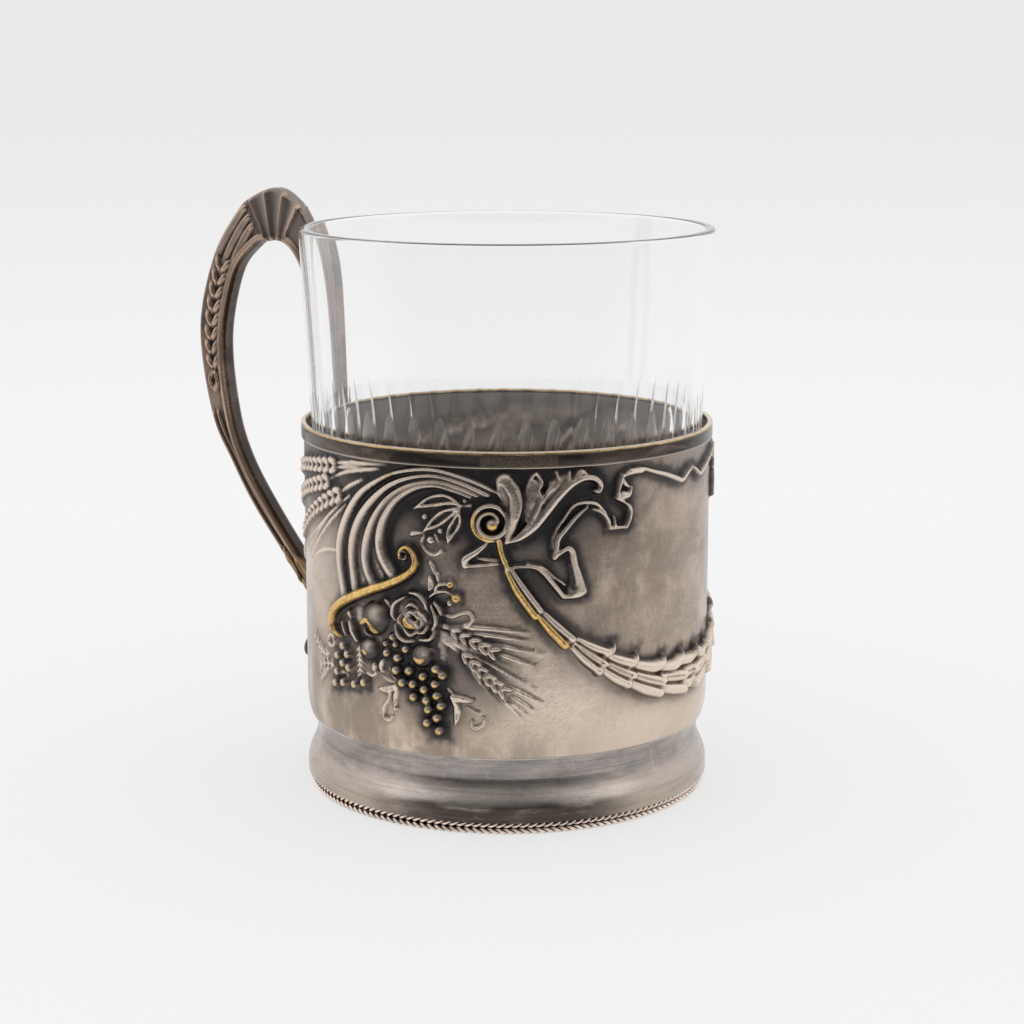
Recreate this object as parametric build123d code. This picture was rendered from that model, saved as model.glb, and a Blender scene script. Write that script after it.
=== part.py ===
from build123d import *
import os
from math import cos, hypot, radians, sin, tan

# A tea glass holder with one handle, and the tea glass that lifts out of it.
# Millimetres, +Z up. The origin is on the holder's axis, at the table.
# The handle lies in the XZ plane, on the -X side, and the ornament faces +X.

# Sleeve: a stamped sheet tube, rolled round and soldered
sleeve_radius = 36.0
sleeve_wall = 0.5
sleeve_bottom = 13.4
sleeve_shoulder = 3.4
sleeve_tuck = 0.5

# Rim: a plain band round the sleeve's top, with a ring that closes both top edges
rim_top = 65.65
rim_ring_height = 0.75
rim_ring_rounding = 0.3
band_height = 2.1
band_thickness = 0.45
band_edge_rounding = 0.3
solder_gap = 0.02

# Foot: a spun ring with a waist, a flared lip and a recess for two twisted wires
foot_wall = 0.7
foot_neck_height = 10.2
foot_neck_depth = 1.7
foot_lip_height = 3.6
foot_lip_overhang = 0.1
trim_wire_diameter = 1.0
trim_seat_gap = 0.03
trim_floor_clearance = 0.08
trim_inset = 0.5

# Floor plate: a disc soldered inside the waist, on which the glass stands
floor_thickness = 0.8

# Tea glass: thin-walled, with a heavy bottom and a ring of cut flutes
glass_height = 88.9
glass_draft = 3.18
glass_clearance = 0.88
glass_wall = 1.4
glass_bottom = 5.0
glass_lip_rounding = 0.55
glass_heel_rounding = 2.0
glass_bowl_rounding = 3.0
flute_count = 46
flute_tip_height = 60.3
flute_length = 46.0
flute_depth = 0.25
flute_hollow_radius = 8.0
flute_overrun = 5.0

# Handle: a cast loop, soldered to the rim and the sleeve at its top and to the sleeve at its foot
handle_thickness = 4.0
handle_rounding = 0.7
handle_glass_gap = 0.7
handle_root_depth = 3.0
tail_knob_radius = 2.25
tail_knob_reach = 5.1
tail_knob_drop = 47.65
tail_root_radius = 2.6
tail_root_reach = 0.9
tail_root_drop = 43.4

# Outline of the handle, as (reach beyond the leg that stands beside the glass, height above the rim)
handle_outer_outline = [
    (0.0, -0.6), (0.0, 4.0), (0.5, 18.4), (1.7, 26.4), (4.8, 33.8), (8.0, 37.3), (11.7, 38.95),
    (16.3, 37.4), (20.0, 34.6), (25.9, 25.6), (29.4, 11.9), (27.1, -4.0), (22.5, -13.2),
    (17.1, -22.0), (8.4, -33.2), (2.0, -41.5),
]
handle_loop_outline = [
    (-1.4, -20.4), (1.2, -14.0), (2.7, -5.7), (3.1, 4.4), (3.7, 14.4), (5.2, 22.5), (8.8, 28.2),
    (12.1, 29.2), (17.6, 27.0), (21.9, 20.0), (23.6, 9.6), (22.3, -3.4), (19.7, -11.3),
    (13.1, -21.9), (9.3, -27.0), (3.4, -34.5), (-1.4, -40.2),
]

# Relief on the sleeve: half of the ornament, which is mirrored to the other half. A band runs through points
# given as (degrees round from the middle of the front, percent of the way from seam to rim band, width).
relief_rim_gap = 0.15
horn_rise = 1.2
horn_ribs = [
    [(-63, 92.5, 0.6), (-79.5, 98.5, 0.8), (-95.5, 94, 1.3), (-106.5, 80, 2.0), (-110, 64, 2.2),
     (-108, 50.5, 2.2)],
    [(-65.5, 92, 0.6), (-79, 96.5, 0.8), (-92.5, 92.5, 1.3), (-103, 77, 2.0), (-105, 68, 2.2),
     (-104, 53.5, 2.2)],
    [(-68, 91.5, 0.6), (-79, 94.5, 0.8), (-92.5, 88.5, 1.3), (-100, 71, 2.0), (-99.5, 63.5, 2.2),
     (-97.5, 57, 2.2)],
    [(-70, 91, 0.6), (-79, 92.7, 0.8), (-90, 88, 1.3), (-95, 74, 2.0), (-94.5, 68, 2.2),
     (-91, 61.5, 2.2)],
]
horn_lip_rise = 1.7
horn_lip = [
    [(-87, 72.5, 0.7), (-84.5, 68, 1.2), (-87.5, 62, 1.6), (-98.5, 55.5, 1.7), (-110.5, 48.5, 1.5),
     (-114, 40.5, 1.0), (-111, 36.5, 0.6)],
]
scroll_place = (-64.0, 82.0)
scroll_rise = 1.3
scroll_radius = 3.1
scroll_bore = 1.9
bow_rise = 0.8
bow_loop = [
    [(-64, 76, 0.6), (-70.5, 69, 1.4)],
    [(-70.5, 68.5, 1.2), (-62, 68, 0.7)],
]
wheat_rise = 0.7
front_wheat_ears = [
    [(-75, 45, 1.4), (-62.5, 37, 2.0)],
    [(-71.5, 36.5, 1.4), (-60, 23, 2.0)],
]
back_wheat_ears = [
    [(-113, 96, 2.2), (-135, 92.5, 3.0), (-156, 85, 1.4)],
    [(-116.5, 90, 2.2), (-137, 83, 3.0), (-154.5, 73.5, 1.4)],
    [(-111, 87, 2.2), (-127.5, 77, 3.0), (-141.5, 65, 1.4)],
]
acanthus_rise = 1.0
acanthus_leaves = [
    [(-59.5, 76, 0.8), (-56.5, 85, 2.2), (-56.5, 90.5, 2.4), (-58, 95, 2.0), (-60, 97.8, 1.2)],
    [(-59.5, 75, 1.0), (-52.5, 81.5, 1.3), (-45.5, 92.5, 1.5), (-39, 96.8, 1.4), (-34.5, 93.5, 1.2)],
]
ribbon_rise = 0.85
ribbon_runs = [
    [(-28, 96, 0.8), (-22, 97, 1.0), (-12.5, 94, 1.0), (-5.5, 91, 1.0), (0.5, 94.5, 0.9)],
    [(-28, 96, 0.8), (-30, 89, 1.0), (-26, 84.5, 1.1), (-26.5, 78.5, 0.9)],
    [(-26.5, 78.5, 0.8), (-32, 78.5, 0.9), (-34.5, 85, 0.9), (-40, 87.5, 0.9), (-45, 81, 0.9),
     (-47.5, 73, 1.0), (-47.5, 70, 1.0)],
    [(-47.5, 70, 0.8), (-43.5, 72.5, 1.0), (-42, 66.5, 1.6), (-41.5, 58, 3.0)],
    [(-39.5, 57, 0.8), (-45, 56.5, 1.0), (-50.5, 65, 1.0), (-58, 67, 0.7)],
]
garland_rise = 1.2
garland_bundles = [
    [(-62, 76, 1.0), (-60, 68, 1.0)],
    [(-60, 68, 0.8), (-51, 52, 2.4)],
    [(-51, 52, 1.6), (-43.5, 40.5, 3.2)],
    [(-43.5, 40.5, 2.2), (-34, 32.5, 4.2)],
    [(-34, 32.5, 3.4), (-23.5, 26.5, 5.6)],
    [(-23.5, 26.5, 4.4), (-12, 22, 6.6)],
    [(-12, 22, 5.0), (-2, 20.5, 7.0)],
    [(-2, 20.5, 6.2), (0.5, 20.5, 6.2)],
]

# Balls on the sleeve, as (degrees round, percent up, radius, rise): fruit, a rose and the scroll's eye
relief_balls = [
    (-97, 46, 2.95, 1.95), (-85, 47.5, 3.7, 1.6), (-99.5, 35, 2.0, 1.65), (-82.5, 35, 2.1, 1.7),
    (-64, 82, 1.35, 1.5),
]

# Grapes, in rows of (count, degrees round to the row's middle, percent up)
grape_radius = 1.0
grape_rise = 1.3
grape_spacing = 3.6
grape_rows = [
    (4, -84.5, 29.5), (4, -83.5, 25), (3, -81.5, 20.7), (2, -79, 16.8), (2, -80, 12.5), (1, -78, 8.5),
]

# Heights and radii that follow from the sizes above
sleeve_bore = sleeve_radius - sleeve_wall
seam_radius = sleeve_radius - sleeve_tuck
band_radius = sleeve_radius + solder_gap + band_thickness
ring_bottom = rim_top - rim_ring_height
band_bottom = ring_bottom - band_height
neck_radius = sleeve_radius - foot_neck_depth
neck_bore = neck_radius - foot_wall
lip_radius = sleeve_radius + foot_lip_overhang
trim_ring_radius = lip_radius - trim_inset - trim_wire_diameter / 2
floor_top = foot_neck_height + floor_thickness / 2
glass_slope = tan(radians(glass_draft))
glass_rim = floor_top + glass_height
glass_rim_radius = sleeve_bore - glass_clearance + (glass_rim - rim_top) * glass_slope
leg_reach = glass_rim_radius + handle_glass_gap
shoulder_top = sleeve_bottom + sleeve_shoulder
relief_root = sleeve_radius - sleeve_wall / 2


def turned(outline):
    """A ring or cup turned about Z from its closed outline, drawn as radius and height."""
    return revolve(Plane.XZ * make_face(outline), Axis.Z)


def relief_height(percent):
    """Height of a place between the seam at the sleeve's bottom and the rim band."""
    return sleeve_bottom + (band_bottom - sleeve_bottom) * percent / 100


def band_outline(points, side):
    """Outline of a band that follows the sleeve, seen flat from the given side of the sleeve."""
    line = [(radians(around - side) * sleeve_radius, relief_height(up)) for around, up, width in points]

    def flat(along, height):
        return (sleeve_radius * sin(along / sleeve_radius), height)

    left = []
    right = []
    for i, (along, height) in enumerate(line):
        before = line[max(i - 1, 0)]
        after = line[min(i + 1, len(line) - 1)]
        run = after[0] - before[0]
        rise = after[1] - before[1]
        share = points[i][2] / 2 / hypot(run, rise)
        left.append(flat(along - rise * share, height + run * share))
        right.append(flat(along + rise * share, height - run * share))
    return make_face([
        Spline(*left), Line(left[-1], right[-1]), Spline(*right), Line(right[0], left[0]),
    ])


def pressed(outlines, side, rise):
    """Flat outlines pressed straight out of the sleeve towards one side, to a rise above its wall."""
    turn = radians(side)
    face = Plane((0, 0, 0), x_dir=(-sin(turn), cos(turn), 0), z_dir=(cos(turn), sin(turn), 0))
    top_radius = sleeve_radius + rise
    top = band_bottom - relief_rim_gap
    shell = turned(Polyline(
        (relief_root, shoulder_top), (top_radius, shoulder_top), (top_radius, top), (relief_root, top),
        close=True,
    ))
    return extrude(face * (Sketch() + outlines), 2 * top_radius) & shell


def pressed_bands(bands, rise):
    around = [point[0] for points in bands for point in points]
    side = (min(around) + max(around)) / 2
    return pressed([band_outline(points, side) for points in bands], side, rise)


def pressed_ball(around, up, radius, rise):
    """The part of a ball that stands out of the sleeve, of the given radius where it meets the wall."""
    ball_radius = (radius**2 + rise**2) / (2 * rise)
    reach = sleeve_radius + rise - ball_radius
    ball = Rot(0, 0, around) * Pos(reach, 0, relief_height(up)) * Sphere(ball_radius)
    core = Pos(0, 0, relief_height(up)) * Cylinder(relief_root, 4 * ball_radius)
    return ball - core


def make_relief():
    """Horns, fruit, wheat, leaves, ribbon and garland, on both halves of the sleeve."""
    scroll_side, scroll_level = scroll_place
    scroll = Pos(0, relief_height(scroll_level)) * (Circle(scroll_radius) - Circle(scroll_bore))
    half = [
        pressed_bands(horn_ribs, horn_rise),
        pressed_bands(horn_lip, horn_lip_rise),
        pressed([scroll], scroll_side, scroll_rise),
        pressed_bands(bow_loop, bow_rise),
        pressed_bands(front_wheat_ears, wheat_rise),
        pressed_bands(back_wheat_ears, wheat_rise),
        pressed_bands(acanthus_leaves, acanthus_rise),
        pressed_bands(ribbon_runs, ribbon_rise),
        pressed_bands(garland_bundles, garland_rise),
    ]
    half += [pressed_ball(*ball) for ball in relief_balls]
    for count, row_middle, up in grape_rows:
        first = row_middle - grape_spacing * (count - 1) / 2
        half += [pressed_ball(first + grape_spacing * i, up, grape_radius, grape_rise) for i in range(count)]
    return half + [mirror(form, Plane.XZ) for form in half]


def make_sleeve():
    """The straight tube with its relief, tucked in at its bottom to meet the foot."""
    inward = (sleeve_tuck, sleeve_shoulder / 2)

    def tuck(inset):
        return Spline(
            (seam_radius - inset, sleeve_bottom), (sleeve_radius - inset, shoulder_top),
            tangents=(inward, (0, 1)),
        )

    wall = Polyline(
        (sleeve_radius, shoulder_top), (sleeve_radius, ring_bottom),
        (sleeve_bore, ring_bottom), (sleeve_bore, shoulder_top),
    )
    seam = Line((seam_radius - sleeve_wall, sleeve_bottom), (seam_radius, sleeve_bottom))
    return turned([tuck(0), wall, tuck(sleeve_wall), seam]) + make_relief()


def make_rim_band():
    inner = sleeve_radius + solder_gap
    band = turned(Polyline(
        (inner, band_bottom), (band_radius, band_bottom),
        (band_radius, ring_bottom), (inner, ring_bottom), close=True,
    ))
    lower_outer_edge = band.edges().group_by(Axis.Z)[0].sort_by(SortBy.RADIUS)[-1]
    return fillet(lower_outer_edge, band_edge_rounding)


def make_rim_ring():
    ring = turned(Polyline(
        (sleeve_bore, ring_bottom), (band_radius, ring_bottom),
        (band_radius, rim_top), (sleeve_bore, rim_top), close=True,
    ))
    return fillet(ring.edges().group_by(Axis.Z)[-1], rim_ring_rounding)


def make_foot_ring():
    """Spun sheet: waist, flare and lip, stepped in under the lip for the twisted wires."""
    recess_top = 2 * trim_wire_diameter + 3 * trim_seat_gap + trim_floor_clearance
    recess_radius = trim_ring_radius - trim_wire_diameter / 2 - trim_seat_gap
    base_bore = recess_radius - foot_wall
    down = (0, -1)

    def flank(inset):
        waist = Spline(
            (seam_radius - inset, sleeve_bottom), (neck_radius - inset, foot_neck_height),
            tangents=((-1, -2), down),
        )
        flare = Spline(
            (neck_radius - inset, foot_neck_height), (lip_radius - inset, foot_lip_height),
            tangents=(down, down),
        )
        return [waist, flare]

    base = Polyline(
        (lip_radius, foot_lip_height), (lip_radius, recess_top), (recess_radius, recess_top),
        (recess_radius, 0), (base_bore, 0), (base_bore, recess_top + foot_wall),
        (lip_radius - foot_wall, recess_top + foot_wall), (lip_radius - foot_wall, foot_lip_height),
    )
    seam = Line((seam_radius - foot_wall, sleeve_bottom), (seam_radius, sleeve_bottom))
    return turned(flank(0) + [base] + flank(foot_wall) + [seam])


def make_trim_wire(level):
    """One of the two twisted wires, laid one above the other in the foot's recess, as a plain ring."""
    spacing = trim_wire_diameter + trim_seat_gap
    height = trim_floor_clearance + trim_wire_diameter / 2 + level * spacing
    return Pos(0, 0, height) * Torus(trim_ring_radius, trim_wire_diameter / 2)


def make_floor_plate():
    plate = Cylinder(neck_bore - solder_gap, floor_thickness)
    return Pos(0, 0, foot_neck_height) * plate


def make_tea_glass():
    """A drafted cup with a rounded heel, bowl and lip, and hollow flutes that taper out at both ends."""
    base_radius = glass_rim_radius - glass_height * glass_slope
    bowl_floor = floor_top + glass_bottom
    bowl_radius = base_radius + glass_bottom * glass_slope - glass_wall
    rounded_corners = [
        ((base_radius, floor_top), glass_heel_rounding),
        ((bowl_radius, bowl_floor), glass_bowl_rounding),
        ((glass_rim_radius, glass_rim), glass_lip_rounding),
        ((glass_rim_radius - glass_wall, glass_rim), glass_lip_rounding),
    ]
    outline = make_face(Polyline(
        (0, floor_top), (base_radius, floor_top), (glass_rim_radius, glass_rim),
        (glass_rim_radius - glass_wall, glass_rim), (bowl_radius, bowl_floor), (0, bowl_floor),
        close=True,
    ))
    for corner, rounding in rounded_corners:
        outline = fillet(outline.vertices().sort_by_distance(Vector(*corner))[0], rounding)
    cup = revolve(Plane.XZ * outline, Axis.Z)

    half_flute = flute_length / 2
    half_tool = half_flute + flute_overrun
    tool_end_radius = flute_hollow_radius - flute_depth * (half_tool / half_flute) ** 2
    tool_outline = [
        Polyline(
            (tool_end_radius, half_tool), (0, half_tool), (0, -half_tool), (tool_end_radius, -half_tool),
        ),
        ThreePointArc((tool_end_radius, -half_tool), (flute_hollow_radius, 0), (tool_end_radius, half_tool)),
    ]
    flute_middle = flute_tip_height - half_flute
    wall_radius = base_radius + flute_middle * glass_slope
    tool_place = Pos(wall_radius + flute_hollow_radius - flute_depth, 0, floor_top + flute_middle)
    tool = tool_place * Rot(0, glass_draft, 0) * turned(tool_outline)
    return cup - [place * tool for place in PolarLocations(0, flute_count)]


def make_handle():
    """The loop, its tail and the seats that fit the rim band and the sleeve."""
    def place(points):
        return [(-(leg_reach + reach), rim_top + height) for reach, height in points]

    outer = place(handle_outer_outline)
    loop = place(handle_loop_outline)
    root = -(sleeve_radius - handle_root_depth)
    outline = [
        Spline(*outer), Spline(*loop),
        Polyline(outer[0], (root, outer[0][1]), (root, loop[0][1]), loop[0]),
        Polyline(outer[-1], (root, outer[-1][1]), (root, loop[-1][1]), loop[-1]),
    ]
    tail_knob = Pos(-(leg_reach + tail_knob_reach), rim_top - tail_knob_drop) * Circle(tail_knob_radius)
    tail_root = Pos(-(leg_reach + tail_root_reach), rim_top - tail_root_drop) * Circle(tail_root_radius)
    tail = make_hull([tail_knob.edge(), tail_root.edge()])
    sheet = Plane.XZ * (make_face(outline) + tail)
    bar = extrude(sheet, handle_thickness / 2, both=True)
    bar = fillet(bar.edges().sort_by(SortBy.LENGTH)[-4:], handle_rounding)

    seat_height = rim_top + handle_root_depth
    sleeve_seat = Pos(0, 0, seat_height / 2) * Cylinder(sleeve_radius + solder_gap, seat_height)
    band_seat_bottom = band_bottom - solder_gap
    band_seat = Pos(0, 0, (band_seat_bottom + seat_height) / 2) * Cylinder(
        band_radius + solder_gap, seat_height - band_seat_bottom,
    )
    return bar - sleeve_seat - band_seat


pieces = {
    "sleeve": make_sleeve(),
    "rim_band": make_rim_band(),
    "rim_ring": make_rim_ring(),
    "foot_ring": make_foot_ring(),
    "trim_wire_lower": make_trim_wire(0),
    "trim_wire_upper": make_trim_wire(1),
    "floor_plate": make_floor_plate(),
    "handle": make_handle(),
    "tea_glass": make_tea_glass(),
}

os.makedirs("parts", exist_ok=True)
for name, piece in pieces.items():
    export_step(piece, f"parts/{name}.step")
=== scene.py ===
import bpy
import numpy as np
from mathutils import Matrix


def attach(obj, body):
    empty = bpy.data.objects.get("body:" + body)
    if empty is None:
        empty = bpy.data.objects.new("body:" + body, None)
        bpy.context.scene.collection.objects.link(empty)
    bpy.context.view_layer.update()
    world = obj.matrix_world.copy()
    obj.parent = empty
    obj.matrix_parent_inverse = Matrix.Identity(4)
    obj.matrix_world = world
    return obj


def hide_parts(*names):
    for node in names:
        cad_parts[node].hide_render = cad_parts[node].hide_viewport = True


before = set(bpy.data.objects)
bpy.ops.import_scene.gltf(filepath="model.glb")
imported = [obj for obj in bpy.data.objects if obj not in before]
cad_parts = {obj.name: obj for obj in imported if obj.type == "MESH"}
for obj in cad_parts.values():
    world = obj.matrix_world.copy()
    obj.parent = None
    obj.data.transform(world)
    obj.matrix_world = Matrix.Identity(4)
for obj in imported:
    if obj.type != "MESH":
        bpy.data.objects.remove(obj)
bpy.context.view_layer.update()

# Floor plate: a plain disc of plated sheet, soldered inside the waist of the foot.
# The glass stands on it. It is dull and dark, because it is never polished.


class Nodes:
    """A node tree, built node by node."""

    def __init__(self, tree):
        self.tree = tree

    def add(self, kind, inputs=(), **settings):
        """A node with its settings. An input is a number, a colour or another node's socket."""
        node = self.tree.nodes.new(kind)
        for key, value in settings.items():
            setattr(node, key, value)
        for key, value in dict(inputs).items():
            if isinstance(value, bpy.types.NodeSocket):
                self.tree.links.new(value, node.inputs[key])
            else:
                node.inputs[key].default_value = value
        return node

    def ramp(self, value, low, high, start=0.0, end=1.0):
        """A number that goes from start to end while the value goes from low to high."""
        given = {"Value": value, "From Min": low, "From Max": high, "To Min": start, "To Max": end}
        return self.add("ShaderNodeMapRange", given, interpolation_type="SMOOTHSTEP").outputs["Result"]

    def math(self, operation, first, second=0.0):
        return self.add("ShaderNodeMath", {0: first, 1: second}, operation=operation).outputs[0]

    def vector(self, operation, first, second=None):
        """A number for a length or a dot product, and a vector for other operations."""
        given = {0: first} if second is None else {0: first, 1: second}
        made = self.add("ShaderNodeVectorMath", given, operation=operation).outputs
        return made["Value" if operation in ("LENGTH", "DOT_PRODUCT") else "Vector"]


class Look(Nodes):
    """A procedural material."""

    def __init__(self, name):
        self.material = bpy.data.materials.new(name)
        self.material.use_nodes = True
        super().__init__(self.material.node_tree)
        self.tree.nodes.clear()

    def place(self):
        return self.add("ShaderNodeTexCoord").outputs["Object"]

    def height(self, place):
        return self.add("ShaderNodeSeparateXYZ", {0: place}).outputs["Z"]

    def value_of(self, name):
        return self.add("ShaderNodeAttribute", attribute_name=name).outputs["Fac"]

    def noise(self, vector, scale, detail=2.0, roughness=0.5, distortion=0.0):
        given = {"Vector": vector, "Scale": scale, "Detail": detail, "Roughness": roughness,
                 "Distortion": distortion}
        return self.add("ShaderNodeTexNoise", given).outputs["Fac"]

    def stretched(self, vector, scale):
        return self.add("ShaderNodeMapping", {"Vector": vector, "Scale": scale}).outputs["Vector"]

    def mix(self, share, first, second):
        """A colour between two colours."""
        return self.add("ShaderNodeMix", {"Factor": share, 6: first, 7: second}, data_type="RGBA").outputs[2]

    def cover(self, colour, share, paint):
        """The colour under this share of a paint."""
        return self.mix(share, colour, tone(*paint))

    def stain(self, colour, value, low, high, share, paint):
        """The colour under a paint that grows to this share while the value goes from low to high."""
        return self.cover(colour, self.ramp(value, low, high, 0.0, share), paint)

    def metal(self, colour, roughness, bump, depth):
        """Finish the material as bare metal with a fine surface."""
        surface = self.add("ShaderNodeBump", {"Height": bump, "Strength": 0.5, "Distance": depth})
        normal = surface.outputs["Normal"]
        given = {"Base Color": colour, "Roughness": roughness, "Metallic": 1.0, "Normal": normal}
        shader = self.add("ShaderNodeBsdfPrincipled", given)
        self.add("ShaderNodeOutputMaterial", {"Surface": shader.outputs["BSDF"]})
        return self.material


def tone(red, green, blue):
    return (red, green, blue, 1.0)


def dress(node, material):
    """Give a CAD node this material."""
    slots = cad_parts[node].data.materials
    slots.clear()
    slots.append(material)


look = Look("floor_plate_metal")
place = look.place()
cloud = look.noise(place, 160.0, 4.0)
grain = look.noise(place, 1800.0, 2.0)
colour = look.mix(cloud, tone(0.10, 0.095, 0.09), tone(0.34, 0.31, 0.28))
dress("floor_plate", look.metal(colour, look.ramp(cloud, 0.3, 0.7, 0.5, 0.62), grain, 0.00003))

# Foot: a ring spun from sheet, with a waist and a flared lip, silver plated.
# It carries brush marks from polishing, soft stains and a few long scratches.

hatch_slants = (84.0, 105.0, 28.0)
hatch_stroke = (0.0018, 0.00013, 1.0)
hatch_radius = 0.036
# The turn of the foot that faces the camera, where reflections are painted on it.
reflection_turn = -61


def worn_silver(look, light, dark, stained, gloss, brushed, hatched, own_marks_and_painted_light):
    """Silver plate that was brushed round the axis, stained and scratched by use.
    The last argument adds the piece's own marks and the light and shade painted on it."""
    place = look.place()
    brush = look.noise(look.stretched(place, (70.0, 70.0, 2400.0)), 1.0, 3.0, 0.6)
    cloud = look.noise(look.stretched(place, (95.0, 95.0, 130.0)), 1.0, 5.0, 0.6, 0.6)
    film = look.noise(place, 42.0, 2.0, 0.5)
    speck = look.noise(place, 1500.0, 3.0, 0.65)
    lines = look.noise(look.stretched(place, (150.0, 120.0, 60.0)), 1.0, 0.5, 0.5, 0.2)
    scratch = look.ramp(look.math("ABSOLUTE", look.math("SUBTRACT", lines, 0.47)), 0.0, 0.0026, 1.0, 0.0)
    scratch = look.math("MULTIPLY", scratch, look.ramp(look.noise(place, 45.0, 1.0), 0.52, 0.62))
    spot = look.add("ShaderNodeSeparateXYZ", {0: place}).outputs
    round_it = look.math("MULTIPLY", look.math("ARCTAN2", spot["Y"], spot["X"]), hatch_radius)
    sheet = look.add("ShaderNodeCombineXYZ", {"X": round_it, "Y": spot["Z"]}).outputs[0]
    hatch = None
    for slant in hatch_slants:
        given = {"Vector": sheet, "Rotation": (0.0, 0.0, np.radians(slant)), "Scale": hatch_stroke}
        stroke = look.add("ShaderNodeMapping", given, vector_type="TEXTURE").outputs["Vector"]
        strokes = look.ramp(look.noise(stroke, 1.0, 2.0, 0.6), 0.54, 0.66)
        hatch = look.math("MAXIMUM", hatch, strokes) if hatch else strokes
    colour = look.mix(look.ramp(cloud, 0.5 - stained, 0.5 + stained), dark, light)
    colour = look.stain(colour, film, 0.46, 0.66, 0.3, (0.27, 0.27, 0.29))
    colour = look.stain(colour, brush, 0.35, 0.75, brushed, (0.80, 0.74, 0.66))
    colour = look.stain(colour, speck, 0.58, 0.75, 0.35, (0.13, 0.12, 0.12))
    colour = look.cover(colour, look.math("MULTIPLY", hatch, hatched), (0.86, 0.76, 0.66))
    colour = look.cover(colour, look.math("MULTIPLY", scratch, 0.35), (0.92, 0.86, 0.78))
    roughness = look.ramp(cloud, 0.3, 0.7, gloss + 0.05, gloss - 0.04)
    colour, roughness = own_marks_and_painted_light(look, place, speck, colour, roughness)
    bump = look.math("ADD", look.math("MULTIPLY", hatch, 4.0 * hatched), brush)
    bump = look.math("ADD", bump, look.math("MULTIPLY", speck, 0.5))
    return look.metal(colour, roughness, bump, 0.00002)


def along_rim(look, place, turn, inner, outer):
    """How near a spot is to the side of the axis at this turn: 1 within the inner angle, 0 past the outer.
    All three are in degrees."""
    way = (np.cos(np.radians(turn)), np.sin(np.radians(turn)), 0.0)
    flat = look.vector("NORMALIZE", look.stretched(place, (1.0, 1.0, 0.0)))
    near = look.vector("DOT_PRODUCT", flat, way)
    return look.ramp(near, np.cos(np.radians(outer)), np.cos(np.radians(inner)))


def foot_stains_and_painted_light(look, place, speck, colour, roughness):
    """Brown clouds, a paler flare, a painted bright reflection on the flare and a painted dark reflection on
    the lip on the side that faces the camera, lathe marks and a painted highlight on the seam at the top.
    """
    height = look.height(place)
    wavy = look.noise(look.stretched(place, (60.0, 60.0, 200.0)), 1.0, 4.0, 0.6)
    level = look.math("ADD", height, look.math("MULTIPLY", look.math("SUBTRACT", wavy, 0.5), 0.004))
    brown = look.noise(look.stretched(place, (55.0, 55.0, 240.0)), 1.0, 5.0, 0.65, 0.5)
    colour = look.stain(colour, brown, 0.48, 0.66, 0.55, (0.40, 0.30, 0.225))
    colour = look.stain(colour, level, 0.0088, 0.0066, 0.8, (0.50, 0.425, 0.365))
    colour = look.stain(colour, brown, 0.42, 0.30, 0.4, (0.62, 0.54, 0.47))
    # Painted reflections on the side that faces the camera: bright on the flare, dark along the lip.
    front = along_rim(look, place, reflection_turn, 18, 46)
    colour = look.cover(colour, look.math("MULTIPLY", look.ramp(level, 0.0090, 0.0068), front),
                        (0.80, 0.71, 0.64))
    colour = look.stain(colour, level, 0.0050, 0.0040, 0.6, (0.52, 0.43, 0.36))
    dark_lip_reflection = look.math("MULTIPLY", look.ramp(level, 0.0060, 0.0045, 0.0, 0.95), front)
    dark_lip_reflection = look.math("MULTIPLY", dark_lip_reflection, look.ramp(wavy, 0.30, 0.55, 0.65, 1.0))
    colour = look.cover(colour, dark_lip_reflection, (0.042, 0.032, 0.027))
    mottle = look.noise(look.stretched(place, (180.0, 180.0, 900.0)), 1.0, 6.0, 0.7, 0.4)
    colour = look.stain(colour, mottle, 0.50, 0.64, 0.2, (0.16, 0.13, 0.112))
    colour = look.stain(colour, mottle, 0.46, 0.36, 0.15, (0.70, 0.60, 0.51))
    lathe = look.noise(look.stretched(place, (22.0, 22.0, 1700.0)), 1.0, 3.0, 0.6)
    colour = look.stain(colour, lathe, 0.52, 0.68, 0.34, (0.17, 0.13, 0.105))
    # A painted highlight along the seam at the top of the foot.
    seam = look.math("ABSOLUTE", look.math("SUBTRACT", height, 0.01315))
    seam = look.math("MULTIPLY", look.ramp(seam, 0.00005, 0.00016, 1.0, 0.0), look.ramp(wavy, 0.40, 0.58))
    return look.cover(colour, look.math("MULTIPLY", seam, 0.6), (0.82, 0.74, 0.66)), roughness


foot_light, foot_dark = tone(0.45, 0.39, 0.35), tone(0.245, 0.222, 0.212)
foot_metal = worn_silver(Look("foot_metal"), foot_light, foot_dark, stained=0.2, gloss=0.20, brushed=0.12,
                         hatched=0.08, own_marks_and_painted_light=foot_stains_and_painted_light)
dress("foot_ring", foot_metal)

# Trim: two wires, each twisted from two strands and laid round the base one above the other.
# They are twisted opposite ways, so that together they read as a herringbone.

trim_turns = 82
trim_steps = 14
trim_radius = 35.1
trim_strand_radius = 0.27
trim_heights = {"trim_wire_lower": (0.58, -1.0), "trim_wire_upper": (1.61, 1.0)}


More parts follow.
